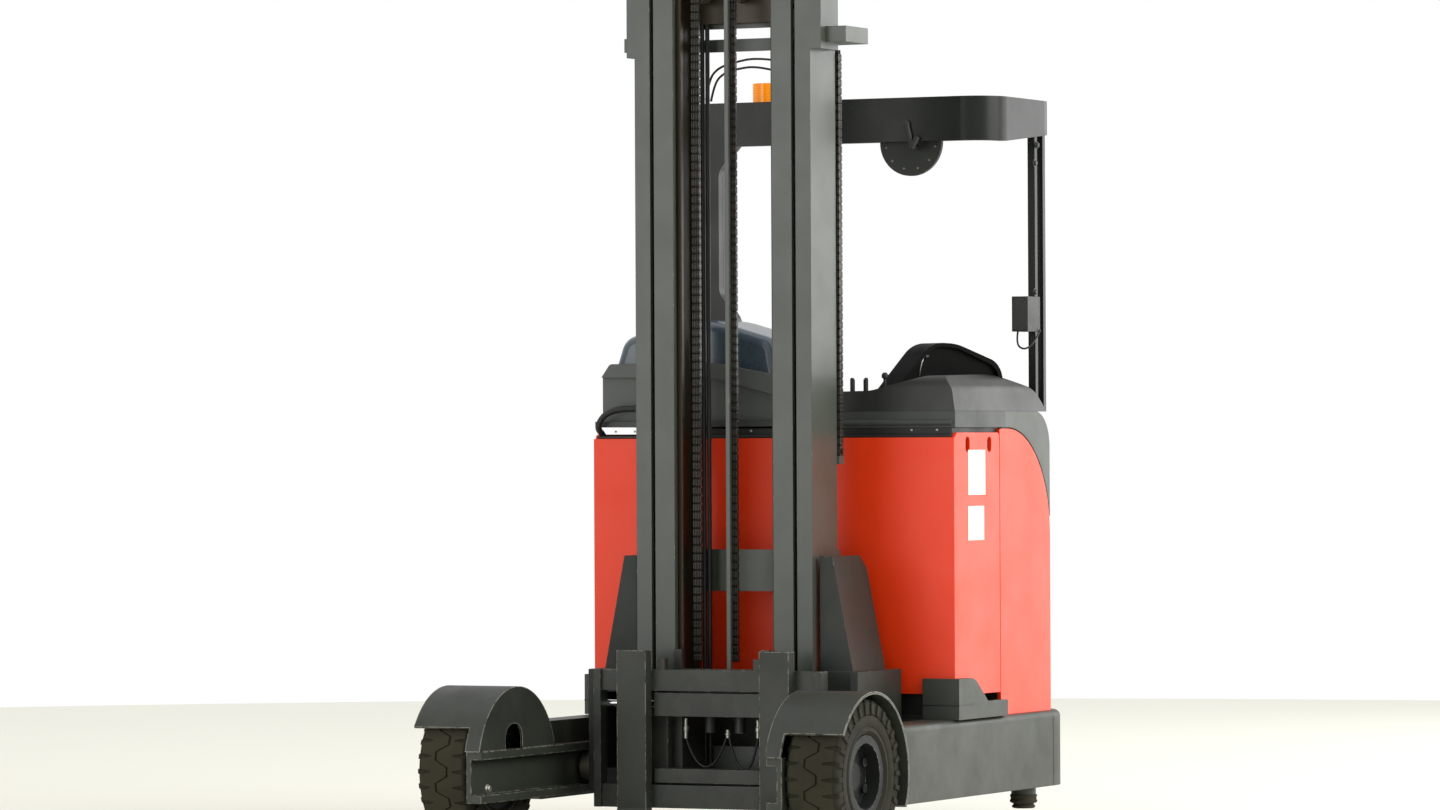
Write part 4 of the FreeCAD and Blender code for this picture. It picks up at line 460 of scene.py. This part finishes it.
def free_cord(name, points, diameter, finish_name, body, length):
    """A cord whose first point is its exit and whose far end is free or clipped."""
    curve = bpy.data.curves.new(name, "CURVE")
    curve.dimensions = "3D"
    curve.bevel_depth = diameter / 2
    curve.bevel_resolution = 3
    curve.use_fill_caps = True
    spline = curve.splines.new("NURBS")
    spline.points.add(len(points) - 1)
    for point, place in zip(spline.points, points):
        point.co = (*place, 1.0)
    spline.order_u = 3
    spline.use_endpoint_u = True
    curve.materials.append(finish(finish_name))
    obj = bpy.data.objects.new(name, curve)
    bpy.context.scene.collection.objects.link(obj)
    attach(obj, body)
    return obj


def run_of(points):
    """The length of a cord along its points, which its curve cuts a little short."""
    spans = zip(points, points[1:])
    return 0.965 * sum((Vector(end) - Vector(start)).length for start, end in spans)


# ---------------------------------------------------------------- pieces


class TRUCK_OT_chassis(Operator):
    """Paints the chassis, legs, fenders and floor, and adds their bolts, feet and battery cable"""
    bl_idname = "truck.chassis"
    bl_label = "Chassis and legs"

    def bolts(self, grid):
        """One bolt inside each leg for its wheel spindle, and two on its outer face."""
        low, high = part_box("support_legs")
        radius = sizes().bolt
        for side in (-1, 1):
            add_bolt(grid, (high.x - 0.101, side * (high.y - 0.126), low.z + 0.039), (0, -side, 0), radius)
            y, z = side * high.y, high.z - 0.035
            add_row(grid, add_bolt, (0.236, y, z), (0.286, y, z), 2, (0, side, 0), radius)

    def foot_rings(self, grid):
        """A rubber collar and rim round each stabiliser foot."""
        low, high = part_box("chassis_frame")
        collar = ((0, 0.0335), (0.002, 0.0365), (0.007, 0.0365), (0.010, 0.0325), (0.015, 0.0325))
        rim = ((0.018, 0.0425), (0.024, 0.0435), (0.027, 0.0405), (0.034, 0.0405), (0.036, 0.0425),
               (0.041, 0.0425), (0.043, 0.0392))
        for side in (-1, 1):
            foot = (low.x + 0.320, side * (high.y - 0.0575), low.z + 0.001)
            add_rings(grid, foot, (0, 0, 1), collar + rim, 32)

    def rivets(self, grid):
        """The row along the battery frame's upper edge, in pairs and unevenly spaced."""
        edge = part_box("battery_frame")[1]
        for y in (-0.545, -0.478, -0.155, -0.075, 0.045, 0.125, 0.470, 0.555):
            add_screw(grid, (edge.x, y, edge.z - 0.0135), (1, 0, 0), sizes().screw * 0.8)

    def plates(self, grid):
        """Two blank plates on the left-hand side cover, one above the other."""
        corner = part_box("battery_side_covers")[1]
        thick, sunk = 0.001, 0.0002
        for back, front, bottom, top in ((0.223, 0.094, 0.191, 0.053), (0.212, 0.092, 0.330, 0.225)):
            low = corner - Vector((back, sunk, bottom))
            high = corner - Vector((front, sunk - thick, top))
            add_box(grid, low, high)

    def joints(self, grid):
        """Dark joint lines round the corner bumpers and down the skirt's rear corners."""
        line, proud = 0.004, 0.0008
        foot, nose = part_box("corner_bumpers")
        tail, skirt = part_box("chassis_frame")
        z = foot.z + 0.0425
        for back, inner in ((0, 0.1205), (0.124, 0)):
            for side in (-1, 1):
                add_box(grid, (nose.x - back, side * (nose.y - inner), z),
                        (nose.x + proud, side * (nose.y + proud), z + line))
        for side in (-1, 1):
            add_box(grid, (tail.x + 0.2125, side * skirt.y, skirt.z - 0.236),
                    (tail.x + 0.2160, side * (skirt.y + 0.0006), skirt.z - 0.020))

    def plug(self, grid):
        """The battery cable's square connector, lying on the cover."""
        low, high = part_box("battery_cover")
        x, y, z = high.x - 0.013, low.y + 0.1785, high.z
        tall = 0.028
        add_box(grid, (x - 0.015, y - 0.032, z), (x + 0.015, y, z + tall))
        add_rod(grid, (x, y, z + tall / 2), (x, y + 0.014, z + tall / 2), 0.011)

    def execute(self, context):
        for name in ("chassis_frame", "corner_bumpers"):
            dress(name, "chassis_paint")
        dress("support_legs", "leg_paint")
        dress("fenders", "worn_paint")
        for name in ("cab_floor", "cab_walls", "battery_frame", "battery"):
            dress(name, "black_paint")
        dress("battery_cover", "cover_paint")
        for name in ("drive_gearbox", "drive_motor", "drive_hub"):
            dress(name, "cast_iron")
        dress("drive_tyre", "drive_tread")
        # The reach barrel shares the darkened mast grey that paints shade on the reach frame.
        dress("reach_barrel", "reach_shaded_paint")
        piece("leg_bolts", self.bolts, "zinc", "chassis")
        piece("foot_rings", self.foot_rings, "tyre_rubber", "chassis", smooth=True)
        piece("strip_rivets", self.rivets, "zinc", "chassis", smooth=True)
        piece("joint_lines", self.joints, "black_plastic", "chassis")
        piece("side_plates", self.plates, "plate_white", "chassis")
        cable = ((-0.385, -0.590, 1.215), (-0.372, -0.594, 1.236), (-0.350, -0.596, 1.246),
                 (-0.338, -0.592, 1.264), (-0.340, -0.575, 1.292), (-0.348, -0.545, 1.308),
                 (-0.355, -0.515, 1.313), (-0.362, -0.485, 1.314), (-0.368, -0.462, 1.314))
        free_cord("battery_cable", cable, 0.020, "hose_rubber", "chassis", run_of(cable))
        piece("battery_plug", self.plug, "black_plastic", "chassis")
        return {"FINISHED"}


class TRUCK_OT_tyres(Operator):
    """Replaces the load tyres with treaded ones: a zigzag groove and shoulder slots"""
    bl_idname = "truck.tyres"
    bl_label = "Load wheels"

    def profile(self, radius, half):
        """A tyre's closed section, from one side over the tread to the other: (side offset, radius)."""
        seat, lip, shoulder = radius * 0.456, radius * 0.53, radius - 0.016
        wall = lip + 0.012
        side = [(half * 0.85, seat), (half * 0.85, lip), (half * 0.9, lip + 0.003), (half, wall)]
        for share, bulge in ((0.12, 0.0), (0.16, -0.003), (0.2, 0.0), (0.4, 0.002), (0.56, 0.0025),
                             (0.6, -0.0015), (0.64, 0.0022), (0.80, 0.0012)):
            side.append((half - 0.0015 + bulge, wall + (shoulder - wall) * share))
        side += [(half - 0.0005, shoulder), (half - 0.005, radius - 0.006), (half - 0.012, radius - 0.0012)]
        groove = sizes().tread_groove / 2
        shares = (0.1, 0.18, 0.25, 0.33, 0.40, 0.45, 0.475, 0.55, 0.63, 0.70, 0.78)
        face = [(y, radius) for y in (0.0, groove, groove + 0.00106)]
        face += [(half * share, radius) for share in shares]
        right = side + face[::-1]
        left = [(-y, r) for y, r in right[:-1]][::-1]
        return right + left

    def place(self, share, mark, pitch, slot):
        """How far round the tread a line of points lies from the middle of its slot."""
        if mark == "wall":
            return math.copysign(slot - 0.0002, share)
        if mark == "edge":
            return math.copysign(slot + 0.0006, share)
        far = abs(share) * pitch
        return math.copysign(max(far, slot + 0.03 * far), share)

    def cut(self, y, r, radius, half, line, deep, out):
        """How far a point moves sideways and drops, for the groove, the slots and the side notches."""
        s = sizes()
        move = drop = 0.0
        if r >= radius - 1e-6:
            fade_start, fade_width = half * 0.44, half * 0.39
            move = line * max(0.0, min(1.0, (fade_start - abs(y)) / fade_width))
            if abs(y) <= s.tread_groove / 2 + 1e-6:
                drop = s.tread_depth
            elif out > 0 and deep:
                drop = s.tread_depth * min(1.0, 0.55 + out)
        elif r > radius - 0.014 and deep:
            drop = s.tread_depth * 0.9
        if radius - 0.045 < r < radius - 0.002 and deep:
            move = math.copysign(-0.0055, y)
        return move, drop

    def tread(self, grid, low, high):
        """One tyre as rings across the profile, closer together beside each slot."""
        s = sizes()
        centre = (low + high) / 2
        radius = (high.z - low.z) / 2
        half = (high.y - low.y) / 2
        pitch = 2 * math.pi * radius / s.tread_pitches
        zigzag = half * 0.24
        slot_start = half * 0.46
        narrow, wide = s.tread_slot / 2, s.tread_notch / 2
        profile = self.profile(radius, half)
        marks = [(0.02, "wall"), (0.045, "edge")]
        marks += [(share, "block") for share in (0.085, 0.14, 0.19, 0.27, 0.38)]
        marks = [(-share, mark) for share, mark in marks[::-1]] + [(0.0, "wall")] + marks + [(0.5, "block")]
        loops = []
        for i in range(s.tread_pitches):
            for share, mark in marks:
                line = zigzag * min(1.0, 2.2 * (1 - 2 * abs(share)))
                line = line if i % 2 == 0 else -line
                loop = []
                for y, r in profile:
                    out = max(0.0, min(1.0, (abs(y) - slot_start) / (half - slot_start)))
                    slot = narrow + (wide - narrow) * out
                    along = self.place(share, mark, pitch, slot) if share else 0.0
                    move, drop = self.cut(y, r, radius, half, line, mark == "wall", out)
                    angle = (i * pitch + along) / radius
                    reach = r - drop
                    loop.append(grid.verts.new((centre.x + reach * math.cos(angle), centre.y + y + move,
                                                centre.z + reach * math.sin(angle))))
                loops.append(loop)
        count = len(profile)
        for near, far in zip(loops, loops[1:] + loops[:1]):
            for j in range(count):
                k = (j + 1) % count
                face = grid.faces.new((near[j], near[k], far[k], far[j]))
                face.material_index = int(min(profile[j][1], profile[k][1]) < radius - 0.004)

    def execute(self, context):
        for word in ("left", "right"):
            node = f"load_tyre_{word}"
            low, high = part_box(node)
            tyre = piece(f"tyre_tread_{word}", lambda grid: self.tread(grid, low, high), "tyre_rubber",
                         f"load_wheel_{word}", smooth=True, replaces=(node,))
            tyre.data.materials.append(finish("tyre_wall"))
            dress(f"load_rim_{word}", "rim_paint")
        return {"FINISHED"}


class TRUCK_OT_panels(Operator):
    """Paints the red panels and grey mouldings"""
    bl_idname = "truck.panels"
    bl_label = "Panels"

    def seal(self, grid):
        """A flat strip with a round lip, along the front panel's upper edge."""
        low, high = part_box("front_panel")
        strip, lip = high.y - 0.0125, high.y - 0.0105
        x, z = high.x - 0.006, high.z + 0.0045
        add_box(grid, (low.x + 0.0005, -strip, z - 0.004), (high.x - 0.0025, strip, z + 0.004))
        add_rod(grid, (x, -lip, z), (x, lip, z), 0.0055)

    def execute(self, context):
        for name in ("front_panel", "battery_side_covers", "side_panels"):
            dress(name, "red_paint")
        for name in ("side_hoods", "seat_hood"):
            dress(name, "hood_plastic")
        dress("console_column", "dark_plastic")
        piece("panel_seal", self.seal, "hose_rubber", "chassis")
        return {"FINISHED"}


class TRUCK_OT_console(Operator):
    """Grained console, steering hood and levers with their knobs"""
    bl_idname = "truck.console"
    bl_label = "Console"

    key_seat = (-0.575, 0.431, 1.472)
    key_tip = (-0.556, 0.429, 1.468)

    def levers(self, grid):
        """Round tops on the two levers, and the key's barrel in the hood."""
        low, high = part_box("control_levers")
        add_rod(grid, self.key_seat, self.key_tip, 0.007, 14)
        top = ((0, 0.0045), (0.003, 0.006), (0.007, 0.0062), (0.0095, 0.0035))
        inset = 0.0065
        for y in (low.y + inset, high.y - inset):
            add_rings(grid, ((low.x + high.x) / 2, y, high.z - 0.004), (0, 0, 1), top, 16)

    def knob(self, grid):
        """A small round knob on a stem in front of the levers."""
        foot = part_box("control_levers")[0].z
        stem = 1.405 - foot
        base = ((0, 0.008), (0.010, 0.008), (0.013, 0.005), (stem, 0.005))
        head = ((stem + 0.003, 0.010), (stem + 0.013, 0.010), (stem + 0.019, 0.005))
        add_rings(grid, (-0.435, 0.350, foot - 0.004), (0, 0, 1), base + head, 20)

    def execute(self, context):
        dress("console", "dark_plastic")
        dress("steering_hood", "visor_plastic")
        dress("control_levers", "black_plastic")
        piece("lever_tops", self.levers, "black_plastic", "chassis", smooth=True)
        wire = (self.key_tip, (-0.545, 0.428, 1.460), (-0.540, 0.424, 1.438),
                (-0.542, 0.418, 1.410), (-0.566, 0.405, 1.384))
        free_cord("key_wire", wire, 0.003, "zinc", "chassis", run_of(wire))
        piece("console_knob", self.knob, "black_plastic", "chassis", smooth=True)
        return {"FINISHED"}


class TRUCK_OT_seat(Operator):
    """Seat shell, base and crowned woven cushions with seams"""
    bl_idname = "truck.seat"
    bl_label = "Seat"

    def pad(self, low, high, thin):
        """A crowned closed form between two corners, fuller in the middle and pinched at its seams."""
        centre = (low + high) / 2
        reach = (high - low) / 2
        wide_axis, long_axis = [axis for axis in range(3) if axis != thin]

        def shaped(way):
            """A unit direction carried out to the cushion's skin."""
            squareness, fall, pinch = 0.32, 0.22, 0.10
            shape = Vector([math.copysign(abs(way[axis]) ** squareness, way[axis]) * reach[axis]
                            for axis in range(3)])
            for axis in (wide_axis, long_axis):
                shape[thin] *= 1 - fall * (shape[axis] / reach[axis]) ** 2
            wide = shape[wide_axis] / reach[wide_axis]
            for seam in (-0.45, 0.45):
                shape[thin] *= 1 - pinch * math.exp(-((wide - seam) / 0.03) ** 2)
            edge = shape[thin] / reach[thin]
            for axis in (wide_axis, long_axis):
                shape[axis] *= 1 - 0.02 * math.exp(-(edge / 0.08) ** 2)
            return centre + shape

        def fill(grid):
            steps = 28
            loops = []
            for i in range(steps + 1):
                v = -math.pi / 2 + math.pi * i / steps
                loop = []
                for j in range(steps * 2):
                    u = math.pi * j / steps
                    way = Vector((math.cos(v) * math.cos(u), math.cos(v) * math.sin(u), math.sin(v)))
                    loop.append(grid.verts.new(shaped(way)))
                loops.append(loop)
            for near, far in zip(loops, loops[1:]):
                for j in range(steps * 2):
                    k = (j + 1) % (steps * 2)
                    grid.faces.new((near[j], near[k], far[k], far[j]))
            bmesh.ops.remove_doubles(grid, verts=grid.verts, dist=1e-5)

        return fill

    def execute(self, context):
        dress("seat_shell", "blue_gloss")
        dress("seat_base", "black_plastic")
        low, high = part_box("seat_cushions")
        thick, overlap, inset = 0.115, 0.020, 0.020
        base = self.pad(low, Vector((high.x, high.y, low.z + thick)), 2)
        back = self.pad(Vector((low.x + inset, low.y, low.z + thick - overlap)),
                        Vector((high.x - inset, low.y + thick, high.z)), 1)
        seat_pad = piece("seat_pad", base, "seat_cloth", "chassis", smooth=True,
                         replaces=("seat_cushions",))
        back_pad = piece("back_pad", back, "seat_cloth", "chassis", smooth=True)
        return {"FINISHED"}


class TRUCK_OT_guard(Operator):
    """Overhead guard, beacon, mirror disc and terminal with its cable"""
    bl_idname = "truck.guard"
    bl_label = "Overhead guard"

    def clamp(self, grid):
        """The mirror disc's hinged arm, its lever and the pin through them."""
        add_rod(grid, (-0.684, 0.314, 2.200), (-0.684, 0.334, 2.118), 0.008)
        add_rod(grid, (-0.682, 0.332, 2.120), (-0.682, 0.352, 2.156), 0.009)
        add_rod(grid, (-0.730, 0.332, 2.124), (-0.676, 0.332, 2.124), 0.008)
        add_rings(grid, (-0.690, 0.312, 2.196), (1, 0, 0), ((0, 0.012), (0.010, 0.012), (0.013, 0.008)), 18)

    def screws(self, grid):
        """The arc of small screws round the mirror disc's lower edge."""
        x, y, z = -0.7282, 0.308, 2.141
        radius, first, step = 0.085, 190, 32
        for i in range(6):
            angle = math.radians(first + step * i)
            add_screw(grid, (x, y + radius * math.cos(angle), z + radius * math.sin(angle)), (1, 0, 0),
                      sizes().screw * 0.8)

    def bolts(self, grid):
        """Three bolts on the outer face of the left-hand rear pillar."""
        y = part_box("overhead_guard")[1].y
        for x, z in ((-1.013, 2.080), (-1.008, 1.675), (-1.029, 2.137)):
            add_bolt(grid, (x, y, z), (0, 1, 0), sizes().bolt * 0.8)

    def face(self, grid):
        """The terminal's front plate, with a screw in each corner."""
        low, high = Vector((-0.9272, 0.567, 1.554)), Vector((-0.9255, 0.613, 1.656))
        add_box(grid, low, high)
        inset, sunk = 0.004, 0.0001
        for z in (low.z + inset, high.z - inset):
            for y in (low.y + inset, high.y - inset):
                add_screw(grid, (high.x - sunk, y, z), (1, 0, 0), sizes().screw * 0.5)

    def execute(self, context):
        dress("overhead_guard", "guard_paint")
        dress("beacon_base", "black_plastic")
        dress("beacon_lens", "amber_lens")
        dress("cab_fittings", "fitting_paint")
        piece("terminal_face", self.face, "dark_plastic", "chassis")
        piece("mirror_clamp", self.clamp, "fitting_paint", "chassis", smooth=True)
        piece("mirror_screws", self.screws, "bare_steel", "chassis", smooth=True)
        piece("guard_bolts", self.bolts, "fitting_paint", "chassis")
        wire = ((-0.965, 0.567, 1.556), (-0.965, 0.559, 1.512), (-0.966, 0.586, 1.492),
                (-0.985, 0.612, 1.512), (-1.015, 0.621, 1.556))
        free_cord("terminal_cable", wire, 0.006, "hose_rubber", "chassis", run_of(wire))
        return {"FINISHED"}


class TRUCK_OT_mast(Operator):
    """Paints the mast stages and reach carriage, and builds the leaf chains link by link"""
    bl_idname = "truck.mast"
    bl_label = "Mast"

    lift_width = 0.025

    def leaf(self, grid, start, way, side, width, depth, dark):
        """One oval plate from pin to pin, standing square to the side direction; a dark plate takes the
        near-black second finish, which is painted shade between the plates.
        """
        pitch = sizes().chain_pitch
        half_thick = width / 20
        corners = 12
        up = Vector(way).normalized()
        forward = up.cross(Vector((0, 1, 0))).normalized()
        outline = []
        for i in range(corners):
            angle = 2 * math.pi * (i + 0.5) / corners
            end = pitch / 2 if math.cos(angle) > 0 else -pitch / 2
            outline.append(up * (end + math.cos(angle) * pitch * 0.46) + forward * math.sin(angle) * depth)
        middle = Vector(start) + up * pitch / 2
        near = [grid.verts.new(middle + place + Vector((0, side - half_thick, 0))) for place in outline]
        far = [grid.verts.new(middle + place + Vector((0, side + half_thick, 0))) for place in outline]
        faces = [grid.faces.new(near[::-1]), grid.faces.new(far)]
        for i in range(corners):
            j = (i + 1) % corners
            faces.append(grid.faces.new((near[i], near[j], far[j], far[i])))
        for face in faces:
            face.material_index = dark

    def strand(self, grid, start, way, count, width):
        """A straight run of leaf chain: rows of five and four plates in turn, with pins."""
        pitch = sizes().chain_pitch
        step, pin, over = width / 9, 0.0022, width * 0.53
        for i in range(count):
            place = Vector(start) + Vector(way) * pitch * i
            # Inner rows sit back between the outer plates and take the near-black finish, which is painted
            # shade in the gaps.
            inner = i % 2
            row = (-3, -1, 1, 3) if inner else (-4, -2, 0, 2, 4)
            depth = 0.0040 if inner else 0.0070
            for spot in row:
                self.leaf(grid, place, way, spot * step, width, depth, inner)
            add_rings(grid, place - Vector((0, over, 0)), (0, 1, 0), ((0, pin), (over * 2, pin)), 6)

    def lift(self, y):
        """One lift chain from its upper end down to the carriage, whole links only."""
        def fill(grid):
            low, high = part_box("lift_chains")
            pitch = sizes().chain_pitch
            count = int((high.z - low.z) / pitch)
            foot = ((low.x + high.x) / 2, y, high.z - count * pitch)
            self.strand(grid, foot, (0, 0, 1), count, self.lift_width)
        return fill

    def rear(self, grid):
        """Two runs of chain down the back of the mast on each side, with a turn at their foot."""
        low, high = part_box("rear_chains")
        pitch = sizes().chain_pitch
        width, inset = 0.022, 0.0125
        turn = (high.x - low.x) / 2 - pitch / 2
        middle = (low.x + high.x) / 2
        foot = low.z + turn + pitch / 2
        count = int((high.z - foot) / pitch)
        for side in (-1, 1):
            y = side * (high.y - inset)
            for x in (middle - turn, middle + turn):
                self.strand(grid, (x, y, foot), (0, 0, 1), count, width)
            for angle in (225, 315):
                way = Vector((math.cos(math.radians(angle)), 0, math.sin(math.radians(angle))))
                start = Vector((middle, y, foot - pitch / 2)) + way * turn
                self.strand(grid, start, (0.3, 0, 0.95), 1, width)

    def execute(self, context):
        for name in ("outer_mast", "middle_mast", "lift_barrels", "guide_bar"):
            dress(name, "mast_paint")
        # Painted shade: the reach frame takes the mast grey darkened to about a third.
        dress("reach_frame", "reach_shaded_paint")
        dress("inner_mast", "greased_steel")
        for name in ("outer_rollers", "middle_rollers", "inner_rollers", "reach_rollers"):
            dress(name, "bare_steel")
        for name in ("lift_rods", "reach_rod"):
            dress(name, "chrome")
        dress("mast_hoses", "hose_rubber")
        rear = piece("rear_leaf_chains", self.rear, "chain_steel", "reach_carriage",
                     replaces=("rear_chains",))
        # The second finish paints the shade in the gaps between the chain's plates.
        rear.data.materials.append(finish("chain_gap_shade"))
        low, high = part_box("lift_chains")
        inset, fully_raised = self.lift_width / 2, 0.0506
        for word, y in (("right", low.y + inset), ("left", high.y - inset)):
            chain = piece(f"leaf_chain_{word}", self.lift(y), "chain_steel", "inner_stage",
                          replaces=("lift_chains",) if word == "right" else ())
            chain.data.materials.append(finish("chain_gap_shade"))
            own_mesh(chain)
        cables = (
            ((-0.185, -0.135, 2.260), (-0.185, -0.125, 2.321), (-0.185, -0.094, 2.357),
             (-0.185, -0.035, 2.373), (-0.185, 0.033, 2.384), (-0.185, 0.090, 2.376)),
            ((-0.193, -0.122, 2.255), (-0.193, -0.110, 2.310), (-0.193, -0.080, 2.340),
             (-0.193, -0.030, 2.353), (-0.193, 0.033, 2.359), (-0.193, 0.090, 2.345)),
        )
        for number, cable in enumerate(cables, 1):
            free_cord(f"mast_cable_{number}", cable, 0.007, "hose_rubber", "reach_carriage",
                      run_of(cable))
        return {"FINISHED"}


class TRUCK_OT_carriage(Operator):
    """Paints the fork carriage, tilting frame, side shift frame and forks, and adds the hose loops"""
    bl_idname = "truck.carriage"
    bl_label = "Fork carriage"

    def fittings(self, grid):
        """The ferrule and nut at each end of the hoses."""
        rings = ((0, 0.0065), (0.35, 0.0065), (0.36, 0.0085), (0.6, 0.0085), (0.61, 0.006), (1, 0.006))
        for y, low, high in ((-0.126, 0.307, 0.368), (0.016, 0.310, 0.335), (0.118, 0.311, 0.366)):
            scaled = [(share * (high - low), radius) for share, radius in rings]
            add_rings(grid, (-0.008, y, low), (0, 0, 1), scaled, 12)

    def execute(self, context):
        for name in ("fork_carriage", "tilt_frame", "side_shift_frame", "tilt_rams"):
            dress(name, "carriage_paint")
        dress("forks", "fork_paint")
        dress("carriage_rollers", "bare_steel")
        dress("side_shift_rod", "chrome")
        piece("hose_fittings", self.fittings, "zinc", "lift_carriage", smooth=True)
        hoses = (
            ((-0.008, -0.126, 0.310), (-0.008, -0.106, 0.253), (-0.008, -0.062, 0.212),
             (-0.008, -0.011, 0.247), (-0.008, 0.013, 0.315)),
            ((-0.008, 0.020, 0.314), (-0.008, 0.037, 0.245), (-0.008, 0.067, 0.207),
             (-0.008, 0.103, 0.234), (-0.008, 0.118, 0.313)),
        )
        for number, hose in enumerate(hoses, 1):
            free_cord(f"carriage_hose_{number}", hose, 0.008, "hose_rubber", "lift_carriage",
                      run_of(hose))
        return {"FINISHED"}


class TRUCK_OT_stage(Operator):
    """Pale floor, white surroundings, soft studio lights and the camera"""
    bl_idname = "truck.stage"
    bl_label = "Stage"

    def floor(self):
        """A matt disc of floor with a faint glow of its own colour."""
        reach, step, glow = 10.4, 3, 0.03
        rim = [math.radians(angle) for angle in range(0, 360, step)]
        mesh = bpy.data.meshes.new("floor")
        mesh.from_pydata([(reach * math.cos(angle), reach * math.sin(angle), 0) for angle in rim], [],
                         [list(range(len(rim)))])
        material = bpy.data.materials.new("floor_paint")
        shader = Tree(material).shader
        base = tuple(colours().floor)
        shader.inputs["Base Color"].default_value = base
        shader.inputs["Roughness"].default_value = 0.9
        shader.inputs["Emission Color"].default_value = base
        shader.inputs["Emission Strength"].default_value = glow
        mesh.materials.append(material)
        floor = bpy.data.objects.new("floor", mesh)
        bpy.context.scene.collection.objects.link(floor)

    def surroundings(self):
        """A white background to the camera, and softer light from below than from above."""
        world = bpy.data.worlds.new("studio")
        bpy.context.scene.world = world
        world.use_nodes = True
        tree = world.node_tree
        background = tree.nodes["Background"]
        paths = tree.nodes.new("ShaderNodeLightPath")
        place = tree.nodes.new("ShaderNodeTexCoord")
        split = tree.nodes.new("ShaderNodeSeparateXYZ")
        tree.links.new(place.outputs["Generated"], split.inputs["Vector"])
        height = tree.nodes.new("ShaderNodeMapRange")
        for name, value in (("From Min", -0.1), ("From Max", 0.9), ("To Min", 0.5), ("To Max", 1.15)):
            height.inputs[name].default_value = value
        tree.links.new(split.outputs["Z"], height.inputs["Value"])
        strength = tree.nodes.new("ShaderNodeMapRange")
        strength.inputs["To Max"].default_value = 1.0
        tree.links.new(height.outputs["Result"], strength.inputs["To Min"])
        tree.links.new(paths.outputs["Is Camera Ray"], strength.inputs["Value"])
        tree.links.new(strength.outputs["Result"], background.inputs["Strength"])
        background.inputs["Color"].default_value = (1, 1, 1, 1)

    def light(self, name, place, target, size, power):
        """A rectangular area light that faces a target."""
        data = bpy.data.lights.new(name, "AREA")
        data.shape = "RECTANGLE"
        data.size, data.size_y = size
        data.energy = power
        obj = bpy.data.objects.new(name, data)
        bpy.context.scene.collection.objects.link(obj)
        obj.location = place
        way = Vector(target) - Vector(place)
        obj.rotation_euler = way.to_track_quat("-Z", "Y").to_euler()

    def camera(self):
        """A long lens ahead and to the left of the truck, level with its panels and slightly rolled."""
        data = bpy.data.cameras.new("camera")
        data.sensor_width = 36
        data.lens = 154.98
        data.clip_end = 200
        obj = bpy.data.objects.new("camera", data)
        bpy.context.scene.collection.objects.link(obj)
        eye = (16.88734, 8.30095, 1.2047)
        turn, tip, roll = 0.4569240602, 0.00618, -0.0047505
        side = Vector((-math.sin(turn), math.cos(turn), 0))
        ahead = Vector((-math.cos(turn), -math.sin(turn), 0))
        up = Vector((0, 0, 1))
        look = ahead * math.cos(tip) + up * math.sin(tip)
        above = up * math.cos(tip) - ahead * math.sin(tip)
        right = side * math.cos(roll) + above * math.sin(roll)
        crown = above * math.cos(roll) - side * math.sin(roll)
        axes = Matrix((right, crown, -look)).transposed()
        obj.matrix_world = Matrix.Translation(eye) @ axes.to_4x4()
        bpy.context.scene.camera = obj

    def execute(self, context):
        self.floor()
        self.surroundings()
        self.light("key", (-0.5, 6.0, 4.2), (0, 0, 1.1), (5, 4), 300)
        self.light("front", (8.0, -3.5, 2.6), (0, 0, 1.1), (5, 4), 130)
        self.light("gloss", (-7.0, 4.5, 2.0), (-0.6, 0.6, 1.2), (8, 5), 240)
        self.camera()
        context.scene.view_settings.view_transform = "Standard"
        return {"FINISHED"}


class TRUCK_PT_panel(Panel):
    """Lists the reach truck's pieces"""
    bl_idname = "TRUCK_PT_panel"
    bl_label = "Reach Truck"
    bl_space_type = "VIEW_3D"
    bl_region_type = "UI"
    bl_category = "Reach Truck"

    def draw(self, context):
        for group in (context.scene.truck_sizes, context.scene.truck_colours):
            for name in group.__annotations__:
                self.layout.prop(group, name)
        for operator in OPERATORS:
            self.layout.operator(operator.bl_idname)


OPERATORS = (
    TRUCK_OT_chassis, TRUCK_OT_tyres, TRUCK_OT_panels, TRUCK_OT_console, TRUCK_OT_seat,
    TRUCK_OT_guard, TRUCK_OT_mast, TRUCK_OT_carriage, TRUCK_OT_stage,
)
CLASSES = (TruckColours, TruckSizes) + OPERATORS + (TRUCK_PT_panel,)


def register():
    for item in CLASSES:
        bpy.utils.register_class(item)
    bpy.types.Scene.truck_colours = PointerProperty(type=TruckColours)
    bpy.types.Scene.truck_sizes = PointerProperty(type=TruckSizes)


def unregister():
    del bpy.types.Scene.truck_sizes
    del bpy.types.Scene.truck_colours
    for item in reversed(CLASSES):
        bpy.utils.unregister_class(item)


def main():
    register()
    for operator in OPERATORS:
        group, name = operator.bl_idname.split(".")
        getattr(getattr(bpy.ops, group), name)()


if __name__ == "__main__":
    main()
